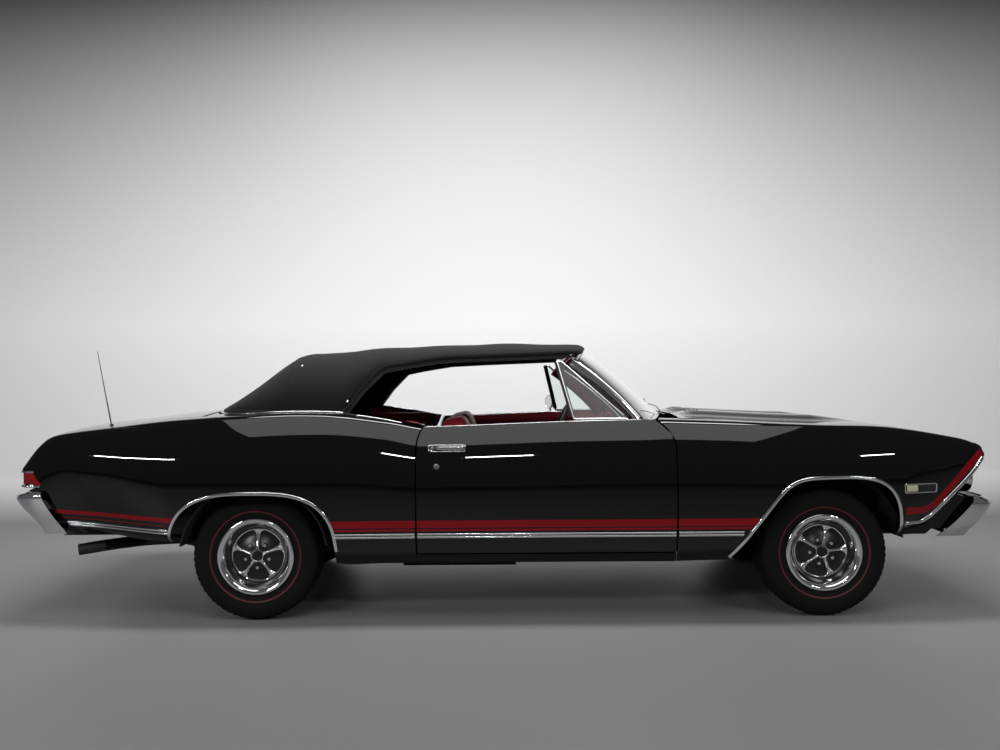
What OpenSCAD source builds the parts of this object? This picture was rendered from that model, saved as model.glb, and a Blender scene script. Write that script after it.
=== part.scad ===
// Two-door convertible muscle car with its soft top up.
// Millimetres. +X is forward, +Y is the driver's side, +Z is up.
// The origin is on the ground, at the middle of the car's length and width.

/* [Overall] */
// Distance between the axle lines
wheelbase = 2845; // [2780:5:2910]
// Front axle line to the front of the bumper
front_overhang = 905; // [880:5:930]
// Rear axle line to the back of the bumper
rear_overhang = 1256; // [1230:5:1290]
// Width across the widest part of the body
body_w = 1923; // [1900:1:1950]
// Height of the roof above the ground
roof_z = 1402; // [1385:1:1415]
// Height of the door's top edge
belt_z = 985; // [975:1:995]
// Bottom edge of the sills
sill_z = 285; // [275:1:295]
// Height of the lower body crease
crease_z = 432; // [420:1:445]

/* [Wheels] */
// Outside diameter of the tyres
tyre_d = 640; // [630:1:652]
// Widest section of the tyres
tyre_w = 205; // [195:1:212]
// Distance between the wheel centres of one axle
track = 1499; // [1485:1:1515]
// Outside diameter of the bright wheel ring
ring_d = 380; // [372:1:386]
// Bore of the wheel's hub
hub_bore_r = 33; // [30:0.5:36]
// Spokes in each wheel
spokes = 5; // [4:1:6]

/* [Panels] */
// Thickness of the sheet panels
skin = 4; // [3:0.5:6]
// Width of the shut lines
gap = 8; // [7:0.5:10]
// Thickness of the doors at their lower edge
door_t = 150; // [140:1:160]
// Front axle line back to the door's front edge
door_front = 753; // [740:1:770]
// Length of the doors
door_l = 1277; // [1250:1:1300]
// Height of the doors' lower edge
door_z = 340; // [330:1:350]
// Height of the two ridges on the hood
ridge_h = 28; // [15:1:40]

/* [Motion] */
// Radius of the door, hood and lid hinge pins
pin_r = 7; // [6:0.5:8]
// Radial play of a pin in its bore
play = 0.06; // [0.02:0.01:0.1]
// Distance of the door hinge line inside the skin
hinge_in = 30; // [28:1:34]
// Distance of the door hinge line behind the door's front edge
hinge_back = 38; // [36:1:42]
// Tilt of the steering column
column_tilt = 24; // [18:1:30]
// Rim diameter of the steering wheel
steering_d = 400; // [380:1:420]

/* [Interior] */
// Width of one front seat
seat_w = 500; // [480:5:510]
// Width of the rear seat
rear_seat_w = 1150; // [1100:5:1170]

/* [Hidden] */
$fn = 48;

paint = [0.02, 0.02, 0.022];
red = [0.5, 0.02, 0.04];
bright = [0.8, 0.8, 0.82];
dark = [0.08, 0.08, 0.08];

// Main lines along the car
car_l = wheelbase + front_overhang + rear_overhang;
axle_f = car_l / 2 - front_overhang;
axle_r = axle_f - wheelbase;
hub_z = tyre_d / 2;
hub_y = track / 2;
half_w = body_w / 2;
// A place across the car that keeps its distance from the side of a wider or narrower body
drawn_half = 961.5;
function across(y) = y + half_w - drawn_half;
tip_x = axle_f + 0.924 * front_overhang;
tail_x = axle_r - 0.950 * rear_overhang;
door_f = axle_f - door_front;
door_r = door_f - door_l;

// Body sections. Columns: place (below 0 in the rear overhang, 0 to 1 between the axles,
// above 1 in the front overhang), how much narrower than the widest half width, rise of the
// lower edge over the sill, rise of the crease, rise of the top edge over the belt, and how far
// the top edge leans in
body = [
  [-0.950, 130, 152, 73, -219, 40],
  [-0.890, 110, 143, 69, -121, 56],
  [-0.841,  96, 135, 65,  -69, 70],
  [-0.780,  82, 127, 60,  -48, 83],
  [-0.570,  43, 118, 45,  -16, 100],
  [-0.380,  19, 114, 30,   12, 110],
  [-0.190,   5, 112, 16,   30, 115],
  [ 0.000,   0,  90,  4,   42, 116],
  [ 0.071,   1,  60,  0,   48, 116],
  [ 0.151,   6,   0,  0,   41, 113],
  [ 0.222,  11,   0,  0,   14, 109],
  [ 0.284,  15,   0,  0,  -21, 106],
  [ 0.330,  15,   0,  0,  -22, 106],
  [ 0.540,  13,   0,  0,   -3, 108],
  [ 0.680,  11,   0,  0,    4, 110],
  [ 0.736,  11,   0,  0,    8, 110],
  [ 0.933,  13,  20,  2,  -19, 105],
  [ 1.000,  16,  60, 10,  -27, 102],
  [ 1.367,  36, 115, 53,  -40, 90],
  [ 1.771,  92, 118, 56,  -99, 63],
  [ 1.865, 112, 118, 56, -126, 52],
  [ 1.903, 122, 118, 56, -146, 46],
  [ 1.924, 130, 118, 56, -178, 40]
];
function along(u) = u < 0 ? axle_r + u * rear_overhang
  : u > 1 ? axle_f + (u - 1) * front_overhang
  : axle_r + u * wheelbase;
stations = [for (r = body)
  [along(r[0]), half_w - r[1], sill_z + r[2], crease_z + r[3], belt_z + r[4], r[5]]];

// Smooth value of one column of a table at a place, through each row
function row_at(t, x, i = 0) = i >= len(t) - 2 || x < t[i + 1][0] ? i : row_at(t, x, i + 1);
function slope(t, i, c) =
  let (a = max(i - 1, 0), b = min(i + 1, len(t) - 1)) (t[b][c] - t[a][c]) / (t[b][0] - t[a][0]);
function smooth(t, x, c) =
  let (i = row_at(t, x), h = t[i + 1][0] - t[i][0], s = min(1, max(0, (x - t[i][0]) / h)))
  (2 * s ^ 3 - 3 * s ^ 2 + 1) * t[i][c] + (s ^ 3 - 2 * s ^ 2 + s) * h * slope(t, i, c)
  + (3 * s ^ 2 - 2 * s ^ 3) * t[i + 1][c] + (s ^ 3 - s ^ 2) * h * slope(t, i + 1, c);
function mix(a, b, t) = a + (b - a) * t;
function ramp(x, a, b) = min(1, max(0, (x - a) / (b - a)));
function spread(a, b, n) = [for (i = [0 : n]) mix(a, b, i / n)];

function wide(x) = smooth(stations, x, 1);
function low(x) = smooth(stations, x, 2);
function crease(x) = smooth(stations, x, 3);
function top(x) = smooth(stations, x, 4);
function lean(x) = smooth(stations, x, 5);

// Half width of the body's outside at a place and height
fullest = 0.33;  // share of the upper side where it is widest
crease_in = 16;  // the crease lies this far inside the widest line
sill_in = 80;    // the sill's edge lies this much further inside
function side_y(x, z) =
  let (m = crease(x), g = (z - m) / (top(x) - m))
  g > fullest ? wide(x) - lean(x) * ((g - fullest) / (1 - fullest)) ^ 2.7
  : g > 0 ? wide(x) - crease_in * ((fullest - g) / fullest) ^ 2
  : wide(x) - crease_in - sill_in * max(0, (m - z) / (m - low(x))) ^ 1.7;
function top_y(x) = wide(x) - lean(x);

// Rake of the front and rear edges of the body sides, by the height below the top edge
nose_rake = 0.82;
tail_rake = 0.88;
arch_f_front = 358;  // front wheel arch, ahead of the axle
arch_f_rear = 479;   // front wheel arch, behind the axle
arch_r = 408;        // rear wheel arch, each way
function lean_x(x, z) =
  x > axle_f ? -ramp(x, axle_f + arch_f_front + 20, tip_x) * (top(x) - z) * nose_rake
  : ramp(x, axle_r - arch_r - 20, tail_x) * (top(x) - z) * tail_rake;

// Wheel arch outline: height of the opening's edge at a distance from the axle
arch_f_top = hub_z + 377;
arch_r_top = hub_z + 319;
arch_base = hub_z - 24;
arch_f_slope = 1.34; // rise of the front arch's rear flank
// Rear flank of the front arch: a straight line that rounds over into the top
function flank(d, b, h) =
  d >= b ? -1000 : let (line = arch_f_slope * (b - d)) arch_base + h * line / (h ^ 8 + line ^ 8) ^ (1 / 8);
function lobe(d, b, h, n) = abs(d) >= b ? -1000 : arch_base + h * (1 - (abs(d) / b) ^ n) ^ (1 / n);
function arch_z(x) =
  let (f = x - axle_f, r = x - axle_r)
  max(lobe(r, arch_r, arch_r_top - arch_base, 3),
      f > 0 ? lobe(f, arch_f_front, arch_f_top - arch_base, 4.2)
            : flank(-f, arch_f_rear, arch_f_top - arch_base));
function edge_z(x) = max(low(x), arch_z(x));
// Places along an arch, close together where its edge is steep
function arch_places(c, b, n, s, k) = [for (i = [0 : k]) c + s * b * cos(90 * i / k) ^ (2 / n)];

// Door edges, cut back near the belt
cut_front = 85;
cut_rear = 45;
cut_from = belt_z - 125;
function cut(z) = max(0, (z - cut_from) / (belt_z - cut_from)) ^ 2;
function door_f_at(z) = door_f - cut_front * cut(z);
function door_r_at(z) = door_r + cut_rear * cut(z);

// Closed solid between an outer and an inner grid of points. Rows and columns are ordered so
// that column times row points out of the outer grid
module slab(a, b) {
  n = len(a);
  m = len(a[0]);
  k = n * m;
  ring = concat([for (j = [0 : m - 1]) j], [for (i = [1 : n - 1]) i * m + m - 1],
    [for (j = [m - 2 : -1 : 0]) (n - 1) * m + j], [for (i = [n - 2 : -1 : 1]) i * m]);
  outside = [for (i = [0 : n - 2], j = [0 : m - 2], h = [0, 1])
    h == 0 ? [i * m + j, (i + 1) * m + j, (i + 1) * m + j + 1]
           : [i * m + j, (i + 1) * m + j + 1, i * m + j + 1]];
  inside = [for (f = outside) [f[2] + k, f[1] + k, f[0] + k]];
  rim = [for (i = [0 : len(ring) - 1], h = [0, 1]) let (p = ring[i], q = ring[(i + 1) % len(ring)])
    h == 0 ? [p, q, q + k] : [p, q + k, p + k]];
  polyhedron(concat([for (r = a) each r], [for (r = b) each r]), concat(outside, inside, rim), 8);
}

// A path in one cross section, moved inwards by a thickness
function unit(v) = v / norm(v);
function inset_path(p, t) = [for (j = [0 : len(p) - 1])
  let (a = p[max(j - 1, 0)], b = p[min(j + 1, len(p) - 1)], d = unit([b[1] - a[1], b[2] - a[2]]))
  [p[j][0], p[j][1] - t * d[1], p[j][2] + t * d[0]]];

// Solid of one section carried along a route of points, with mitred corners
module swept(route, section) {
  n = len(route);
  m = len(section);
  function way(i) = unit(unit(route[min(i + 1, n - 1)] - route[max(min(i, n - 2), 0)])
    + unit(route[max(i, 1)] - route[max(i - 1, 0)]));
  rings = [for (i = [0 : n - 1])
    let (t = way(i), s = unit(cross([0, 0, 1], t)), u = cross(t, s))
    for (p = section) route[i] + s * p[0] + u * p[1]];
  walls = [for (i = [0 : n - 2], j = [0 : m - 1], h = [0, 1])
    let (q = (j + 1) % m)
    h == 0 ? [i * m + j, (i + 1) * m + q, i * m + q] : [i * m + j, (i + 1) * m + j, (i + 1) * m + q]];
  polyhedron(rings, concat(walls, [[for (j = [0 : m - 1]) j]],
    [[for (j = [m - 1 : -1 : 0]) (n - 1) * m + j]]), 8);
}
function round_section(r, n) = [for (i = [0 : n - 1]) r * [cos(360 * i / n), sin(360 * i / n)]];
function box_section(w, h) = [[-w / 2, -h / 2], [w / 2, -h / 2], [w / 2, h / 2], [-w / 2, h / 2]];

module both() {
  children();
  mirror([0, 1, 0]) children();
}
module block(a, b) {
  translate(a) cube(b - a);
}

// Upper surfaces: hood, nose, deck and lid lie on one crowned sheet
deck_crown = 30;     // rise of the sheet at the car's middle, behind the cabin
hood_crown = 10;     // and ahead of it
strip = 105;         // width of the fender's and quarter's own top
nose_bow = 45;       // the nose is this much further forward in the middle
tail_bow = 40;       // and the tail this much further back
ridge_y = 265;       // place of the hood's ridges
ridge_w = 120;
hood_r = door_f + 35;
hood_f = tip_x - 97;
lid_f = axle_r - 300;
lid_r = tail_x + 45;
function ridge(x, y) = ridge_h * ramp(x, hood_r + 20, hood_r + 120)
  * (1 - ramp(x, axle_f + 90, axle_f + 330)) * exp(-((abs(y) - ridge_y) / ridge_w) ^ 4);
cowl_bow = 62;       // the hood's rear edge is this much further forward in the middle
function bow(x, f) = (nose_bow * ramp(x, axle_f, tip_x) - tail_bow * ramp(x, axle_r - 100, tail_x)
  + (x > 0 ? cowl_bow * (1 - ramp(x, hood_r, axle_f - 100)) : 0)) * (1 - f ^ 2);
// Point of the sheet at a place and a share of the body's top width
function sheet(x, f) =
  let (y = f * top_y(x))
  [x + bow(x, f), y, top(x) + (x > 0 ? hood_crown : deck_crown) * (1 - f ^ 2)
    * ramp(top(x), belt_z - 240, belt_z - 100) + ridge(x, y)];
function panel_share(x) = (top_y(x) - strip) / top_y(x);
function lid_share(x) = (top_y(x) - strip - gap) / top_y(x);

// Side panels: one path up the body side and over its top edge
up_n = 9;
top_n = 3;
function side_path(x, z0, shift = [0, 0]) = concat(
  [for (j = [0 : up_n]) let (z = mix(z0, top(x), 1 - (1 - j / up_n) ^ 1.5))
    [x + lean_x(x, z) + shift[0] * cut(z) + shift[1], side_y(x, z), z]],
  [for (j = [1 : top_n]) let (p = sheet(x, mix(1, panel_share(x), j / top_n)))
    [p[0] + shift[0] + shift[1], p[1], p[2]]]);

fender_places = concat(
  [door_f + gap, door_f + gap + 90, axle_f - arch_f_rear - 1],
  arch_places(axle_f, arch_f_rear, 1.7, -1, 7),
  [for (i = [6 : -1 : 0]) arch_places(axle_f, arch_f_front, 4.2, 1, 7)[i]],
  [axle_f + arch_f_front + 1],
  spread(axle_f + arch_f_front + 60, tip_x, 6));
fender_lip = 300;  // length over which the cut-back door edge fades out
function fender_path(x) =
  side_path(x, edge_z(x), [(gap - cut_front) * (1 - ramp(x, door_f + gap,
      door_f + gap + fender_lip)), 0]);
fender_bracket_x = [axle_f - 560, axle_f + 440];
bracket_w = 30;
support_z = belt_z - 130;  // top of the inner structure that carries the panels
module fender() {
  rows = [for (x = fender_places) fender_path(x)];
  color(paint) union() {
    slab(rows, [for (r = rows) inset_path(r, skin)]);
    for (x = fender_bracket_x)
      let (p = sheet(x, panel_share(x) + 0.04))
      block([x, p[1] - bracket_w / 2, support_z], [x + bracket_w, p[1] + bracket_w / 2,
          p[2] - skin / 2]);
  }
}

quarter_wall = 76;  // thickness of the quarter at the door
function quarter_t(x) = mix(quarter_wall, skin, ramp(x, door_r - 130, door_r - 300));
quarter_places = concat(
  spread(tail_x, axle_r - arch_r - 60, 7), [axle_r - arch_r - 1],
  arch_places(axle_r, arch_r, 3, -1, 6),
  [for (i = [5 : -1 : 0]) arch_places(axle_r, arch_r, 3, 1, 6)[i]],
  [axle_r + arch_r + 1, door_r - 300, door_r - 130, door_r - gap]);
function quarter_cut(x, z) = cut_rear * ramp(x, door_r - gap - 250, door_r - gap) * min(1, cut(z));
module quarter() {
  rows = [for (x = quarter_places) side_path(x, edge_z(x))];
  thin = [for (i = [0 : len(rows) - 1]) inset_path(rows[i], quarter_t(quarter_places[i]))];
  function bent(g) = [for (i = [0 : len(g) - 1]) [for (p = g[i]) p + [quarter_cut(quarter_places[i],
      p[2]), 0, 0]]];
  color(paint) union() {
    slab(bent(rows), bent(thin));
    block([door_r - 120, sill_y, sill_z + 25], [door_r - 40, sill_y + 45, floor_z]);
  }
}

// Places of the frame and floor
back_x = -car_l / 2;
front_x = car_l / 2;
rail_y = 415;
rail_w = 70;
rail_h = 100;
rail_side = 640;
floor_z = 385;
rear_rail_z = 440;
front_rail_z = 400;
trunk_z = rear_rail_z + rail_h / 2 + 8;
rail_back = back_x + 170;
rail_front = front_x - 360;
rail_low = floor_z - rail_h / 2;
hitch_span = 200;  // distance between the tow bar's bolt holes

// Doors, hung on pins near their front edge
hinge_x = door_f - hinge_back;
hinge_y = wide(door_f) - hinge_in;
hinge_zs = [crease_z + 90, crease_z + 312];
pocket_r = 98;
pocket_h = 34;
door_in_belt = 95;    // thickness of the door at the belt
door_end_slope = 18;  // the inner end is this much shorter than the skin
door_rows = 11;
vent_pad_z = belt_z + 6;
vent_y = half_w - 162;
vent_xs = [door_f - 492, door_f - 217];
function door_in(z) = mix(half_w - 11 - door_t, top_y(mix(door_r, door_f, 0.5)) - door_in_belt,
  ramp(z, door_z, belt_z));
function door_col(s, inner) =
  let (x0 = mix(door_r, door_f, s))
  [for (j = [0 : up_n]) let (z = mix(door_z, top(x0), 1 - (1 - j / up_n) ^ 1.5),
      x = mix(door_r_at(z), door_f_at(z), s))
    inner ? [x + door_end_slope * (1 - s), door_in(z), z] : [x, side_y(x, z), z]];
module door() {
  share = spread(0, 1, door_rows);
  color(paint) difference() {
    union() {
      slab([for (s = share) door_col(s, false)], [for (s = share) door_col(s, true)]);
      block([vent_xs[0] - 20, vent_y - 14, belt_z - 14], [vent_xs[1] + 25, vent_y + 14, vent_pad_z]);
    }
    for (z = hinge_zs) translate([hinge_x, hinge_y, z]) {
      intersection() {
        translate([0, 0, -pocket_h / 2]) cylinder(r = pocket_r, h = pocket_h);
        translate([-200, -400, -100]) cube([400, 418, 200]);
      }
      translate([0, 0, -45]) cylinder(r = pin_r + play, h = 90);
    }
  }
}
pillar_x = hinge_x + hinge_back + 18;
pillar_y = [across(762), across(858)];
module door_hinge() {
  arm_w = 20;
  arm_h = 24;
  for (z = hinge_zs) translate([hinge_x, hinge_y, z]) union() {
    translate([0, 0, -40]) cylinder(r = pin_r, h = 80);
    intersection() {
      rotate([0, 0, -60]) translate([0, -arm_w / 2, -arm_h / 2]) cube([300, arm_w, arm_h]);
      translate([-50, -400, -50]) cube([50 + pillar_x - hinge_x, 500, 100]);
    }
  }
}
module door_hinges() {
  color(dark) both() door_hinge();
}
module vent_window() {
  lean_t = 140;
  h = 297;
  color(bright) translate([0, vent_y, vent_pad_z]) multmatrix([[1, 0, 0, 0], [0, 1, -lean_t / h, 0],
      [0, 0, 1, 0]])
    rotate([90, 0, 0]) linear_extrude(height = 14, center = true)
    polygon([[vent_xs[0], 0], [vent_xs[1], 0], [vent_xs[1] - 12, 18], [vent_xs[0] - 52, h],
        [vent_xs[0] - 75, h]]);
}

// Hood, nose, deck and lid
hood_t = 12;
function over(x, f, down) = let (p = sheet(x, f)) [p[0], p[1], p[2] - down];
function cover(places, edge, n, down) = [for (x = places) [for (j = [0 : n]) over(x,
    edge(x) * (1 - 2 * j / n), down)]];
lug_w = 26;
hood_ax = [hood_r + 25, top(hood_r) - 27];
hood_lug_y = 560;
module lug(ax, y, up) {
  difference() {
    union() {
      translate([ax[0], y, ax[1]]) rotate([90, 0, 0]) cylinder(r = 15, h = lug_w, center = true);
      block([ax[0] - 12, y - lug_w / 2, ax[1]], [ax[0] + 12, y + lug_w / 2, ax[1] + up]);
    }
    translate([ax[0], y, ax[1]]) rotate([90, 0, 0]) cylinder(r = pin_r + play, h = lug_w * 2,
        center = true);
  }
}
module hinge_pin(ax, y, floor_z) {
  union() {
    translate([ax[0], y, ax[1]]) rotate([90, 0, 0]) cylinder(r = pin_r, h = lug_w + 30, center = true);
    for (s = [-1, 1]) block([ax[0] - 11, y + s * (lug_w / 2 + 11) - 5, floor_z],
      [ax[0] + 11, y + s * (lug_w / 2 + 11) + 5, ax[1] + 11]);
  }
}
module hood() {
  places = concat(spread(hood_r, hood_r + 130, 2), spread(hood_r + 260, axle_f - 100, 3),
    spread(axle_f, axle_f + 260, 3), spread(axle_f + 370, hood_f, 3));
  rows = cover(places, function (x) lid_share(x), 24, 0);
  color(paint) union() {
    slab(rows, cover(places, function (x) lid_share(x), 24, hood_t));
    for (s = [-1, 1]) lug(hood_ax, s * hood_lug_y, 26);
  }
}
cowl_top_z = belt_z - 85;
module hood_hinges() {
  color(dark) for (s = [-1, 1]) hinge_pin(hood_ax, s * hood_lug_y, cowl_top_z);
}
lid_ax = [lid_f - 22, top(lid_f) - 16];
lid_lug_y = hub_y - 189.5;
lid_gap = 24;
well_z = belt_z - 60;
module trunk_lid() {
  places = concat(spread(lid_r, lid_r + 160, 4), spread(lid_r + 300, lid_f, 4));
  edge = function (x) lid_share(x);
  color(paint) union() {
    slab(cover(places, edge, 14, 0), cover(places, edge, 14, hood_t));
    for (s = [-1, 1]) lug(lid_ax, s * lid_lug_y, 34);
  }
}
module lid_hinges() {
  color(dark) for (s = [-1, 1]) hinge_pin(lid_ax, s * lid_lug_y, well_z);
}
module nose_panel() {
  places = spread(hood_f + gap, tip_x, 4);
  edge = function (x) (top_y(x) - strip - 1) / top_y(x);
  color(paint) union() {
    slab(cover(places, edge, 14, 0), cover(places, edge, 14, 8));
    for (s = [-1, 1]) let (p = over(tip_x - 75, 560 / top_y(tip_x - 75), 4)) {
      block([core_x + 22, s * 560 - 15, core_top - 60], [p[0] + 4, s * 560 + 15, core_top - 40]);
      block([p[0] - 4, s * 560 - 15, core_top - 60], [p[0] + 4, s * 560 + 15, p[2]]);
    }
  }
}
module deck_panel() {
  places = spread(lid_f + lid_gap, lid_f + 150, 2);
  edge = function (x) (top_y(x) - strip - 0.6) / top_y(x);
  color(paint) union() {
    slab(cover(places, edge, 14, 0), cover(places, edge, 14, 5));
    for (s = [-1, 1]) block([lid_f - 60, s * lid_lug_y - 60, well_z - 8],
        [lid_f + 150, s * lid_lug_y + 60, well_z]);
    for (s = [-1, 1]) block([lid_f + 90, s * lid_lug_y - 30, trunk_z],
        [lid_f + 100, s * lid_lug_y + 30, over(lid_f + 100, 0.68, 2.5)[2]]);
  }
}

// Tail
tail_low = trunk_z + 6;
tail_edge = function (x) (wide(x) - 14) / top_y(x);
lamp_f = [0.62, 0.72, 0.82, 0.92, 1.0];
tail_f = concat([for (i = [4 : -1 : 0]) -lamp_f[i]], spread(-0.45, 0.45, 4), lamp_f);
function tail_point(f, z) = let (w = tail_half)
  [tail_x + (top(tail_x) - z) * tail_rake - tail_bow * (1 - f ^ 2), f * w, z];
tail_half = wide(tail_x) - lean(tail_x) - 6;
tail_top = top(tail_x) - 6;
lamp_zs = [crease_z + 239, crease_z + 322];
tail_zs = [tail_low, crease_z + 150, lamp_zs[0], lamp_zs[1], tail_top];
module tail_panel() {
  face = [for (f = tail_f) [for (z = tail_zs) tail_point(f, z)]];
  lip_f = [for (f = tail_f) if (abs(f) < 0.9) f];
  lip = [for (f = lip_f) concat([tail_point(f, tail_top - 12) + [2, 0, 0], tail_point(f, tail_top + 1)],
    [for (x = spread(tail_x + 8, lid_r - gap, 2)) let (p = sheet(x, f * tail_half / top_y(x))) p])];
  color(paint) union() {
    slab(face, [for (r = face) [for (p = r) p + [8, 0, 0]]]);
    slab(lip, [for (r = lip) [for (p = r) p + [5, 0, -4]]]);
    for (s = [-1, 1]) let (p = tail_point(520 / tail_half, trunk_z + 6))
      block([p[0] + 3, s * 520 - 30, trunk_z], [trunk_end + 60, s * 520 + 30, trunk_z + 10]);
  }
}
module tail_lamps() {
  zs = lamp_zs;
  color(red) both()
    slab([for (f = lamp_f) [for (z = zs) [tail_point(f, zs[1])[0] - 8, f * tail_half, z]]],
      [for (f = lamp_f) [for (z = zs) tail_point(f, z) - [0.4, 0, 0]]]);
}

// Bumpers: a plan line and a profile of setbacks, outer face and inner face
function plan_normal(p, i) =
  let (a = p[max(i - 1, 0)], b = p[min(i + 1, len(p) - 1)], d = unit(b - a)) [-d[1], d[0]];
// tuck draws the lower edge further in towards the corners
function bumper_grid(plan, profile, t, tuck) = [for (i = [0 : len(plan) - 1])
  let (n = plan_normal(plan, i), in = 1 + tuck * ramp(abs(plan[i][1]), across(600), across(840)))
  [for (q = profile) [plan[i][0] - n[0] * (q[0] * in + t), plan[i][1] - n[1] * (0.35 * q[0] + t), q[1]]]];
function doubled(p) = let (k = half_w / drawn_half)
  [for (i = [1 - len(p) : len(p) - 1]) [p[abs(i)][0], k * sign(i) * p[abs(i)][1]]];
rear_plan = doubled([[back_x, 0], [back_x + 4, 300], [back_x + 10, 580], [back_x + 20, 740],
  [back_x + 38, 800], [back_x + 82, 842], [back_x + 150, 862], [back_x + 322, 876]]);
rear_profile = [[150, 437], [98, 485], [40, 540], [9, 592], [2, 630], [36, 652]];
front_half = doubled([[front_x, 0], [front_x - 5, 300], [front_x - 12, 580], [front_x - 25, 740],
  [front_x - 50, 800], [front_x - 100, 846], [front_x - 180, 868], [front_x - 336, 884]]);
front_plan = [for (i = [len(front_half) - 1 : -1 : 0]) front_half[i]];
front_profile = [[190, 394], [135, 424], [70, 462], [29, 505], [3, 545], [3, 571], [40, 592]];
bumper_t = 6;
rear_tuck = 0.95;
// Cuts the ends of a bumper along a slanted line, away from the car's end
module slant(line, reach) {
  far = line[0][0] + reach;
  for (m = [0, 1]) mirror([0, m, 0]) translate([0, 1000, 0]) rotate([90, 0, 0])
    linear_extrude(height = 190)
    polygon([line[0], line[1], line[1] + [0, 150], [far, line[1][1] + 150], [far, line[0][1]]]);
}
module rear_bumper() {
  color(bright) union() {
    difference() {
      slab(bumper_grid(rear_plan, rear_profile, 0, rear_tuck),
        bumper_grid(rear_plan, rear_profile, bumper_t, rear_tuck));
      slant([[back_x + 290, 430], [back_x + 183, 650]], 300);
    }
    for (s = [-1, 1]) block([back_x + 68, s * 520 - 30, 536], [rail_back, s * 520 + 30, 550]);
    for (s = [-1, 1]) block([rail_back - 12, s * 520 - 30, rear_rail_z - 40],
        [rail_back, s * 520 + 30, 550]);
  }
}
module front_bumper() {
  color(bright) union() {
    difference() {
      slab(bumper_grid(front_plan, front_profile, 0, 0),
        bumper_grid(front_plan, front_profile, bumper_t, 0));
      slant([[front_x - 343, 400], [front_x - 171, 583]], -300);
    }
    for (s = [-1, 1]) block([rail_front, s * rail_y - 30, 500], [front_x - 42, s * rail_y + 30, 514]);
    for (s = [-1, 1]) block([rail_front, s * rail_y - 30, front_rail_z - 40],
        [rail_front + 12, s * rail_y + 30, 514]);
  }
}

// Frame and floor
module frame() {
  left = [[rail_back, 520, rear_rail_z], [axle_r + 372, 520, rear_rail_z],
    [axle_r + 515, rail_side, rail_low], [axle_f - 900, rail_side, rail_low],
    [axle_f - 620, rail_y, rail_low], [axle_f - 330, rail_y, rail_low],
    [axle_f - 180, rail_y, front_rail_z], [rail_front, rail_y, front_rail_z]];
  color(dark) difference() {
    union() {
      both() swept(left, box_section(rail_w, rail_h));
      block([axle_f - 60, -rail_y, 216], [axle_f + 60, rail_y, 286]);
      both() block([axle_f - 60, rail_y - 35, 230], [axle_f + 60, rail_y + 35, front_rail_z]);
      both() block([axle_f - 960, 232, floor_z - 45], [axle_f - 900, rail_side, floor_z]);
      both() block([axle_f - 960, 232, 246], [axle_f - 900, 262, floor_z]);
      block([axle_f - 960, -262, 246], [axle_f - 900, 262, 284]);
      block([rail_back + 20, -520, rear_rail_z - 40], [rail_back + 80, 520, rear_rail_z + 30]);
      block([axle_r + 560, -rail_side, floor_z - 24], [axle_r + 620, rail_side, floor_z]);
    }
    for (s = [-1, 1]) translate(
        [rail_back + 50, s * hitch_span / 2, rear_rail_z - 60]) cylinder(r = 6.5, h = 120);
  }
}
sill_y = half_w - 176.5;
floor_f = door_f + 45;
floor_b = axle_r + 540;
trunk_end = tail_x + (top(tail_x) - trunk_z) * tail_rake + 14;
tunnel_r = 165;
module floor_pan() {
  color(dark) difference() {
    union() {
      block([floor_b, -sill_y, floor_z], [pillar_x, sill_y, floor_z + 8]);
      block([floor_b, 5 - pillar_y[0], floor_z], [floor_f, pillar_y[0] - 5, floor_z + 8]);
      both() block([door_r - 150, sill_y - 40, sill_z], [pillar_x, sill_y, floor_z + 8]);
      block([floor_b, -well_y, floor_z], [floor_b + 8, well_y, trunk_z]);
      block([trunk_end, -well_y, trunk_z - 8], [floor_b + 8, well_y, trunk_z]);
      intersection() {
        translate([floor_b, 0, floor_z - 40]) rotate([0, 90, 0]) cylinder(r = tunnel_r,
            h = floor_f - floor_b);
        block([floor_b, -300, floor_z], [floor_f, 300, floor_z + 300]);
      }
    }
    translate([floor_b - 50, 0, floor_z - 40]) rotate([0, 90, 0]) cylinder(r = tunnel_r - 8,
        h = floor_f - floor_b + 100);
  }
}
module rockers() {
  xs = spread(door_r - gap + 2, door_f + gap - 2, 8);
  zs = spread(sill_z, door_z - gap, 3);
  color(paint) both()
    slab([for (x = xs) [for (z = zs) [x, side_y(x, z), z]]], [for (x = xs) [for (z = zs)
        [x, sill_y, z]]]);
}
core_x = axle_f + 470;
core_top = support_z;
house_y = hub_y - 267.5;
module front_wheelhouses() {
  r = 424;
  color(dark) union() {
    both() difference() {
      translate([axle_f, house_y, hub_z]) rotate([-90, 0, 0]) cylinder(r = r + 6, h = across(770) - house_y);
      translate([axle_f, house_y + 6, hub_z]) rotate([-90, 0, 0]) cylinder(r = r, h = 400);
      block([axle_f - 500, house_y - 5, -200], [axle_f + 500, house_y + 500, hub_z + 60]);
      block([axle_f - 75, house_y - 5, 0], [axle_f + 75, house_y + 20, hub_z + 190]);
    }
    both() block([pillar_x + 90, across(715), support_z - 25], [core_x, across(775), support_z]);
    both() block([axle_f - 20, across(715), hub_z + r - 4], [axle_f + 20, across(775), support_z - 20]);
    block([core_x, -across(775), core_top - 60], [core_x + 22, across(775), core_top]);
    block([core_x, -across(775), front_rail_z + 50], [core_x + 22, across(775), front_rail_z + 90]);
    both() block([core_x, 420, front_rail_z + 50], [core_x + 22, across(775), core_top]);
  }
}
well_y = hub_y - 159.5;  // inner wall of the rear wheel houses
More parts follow.
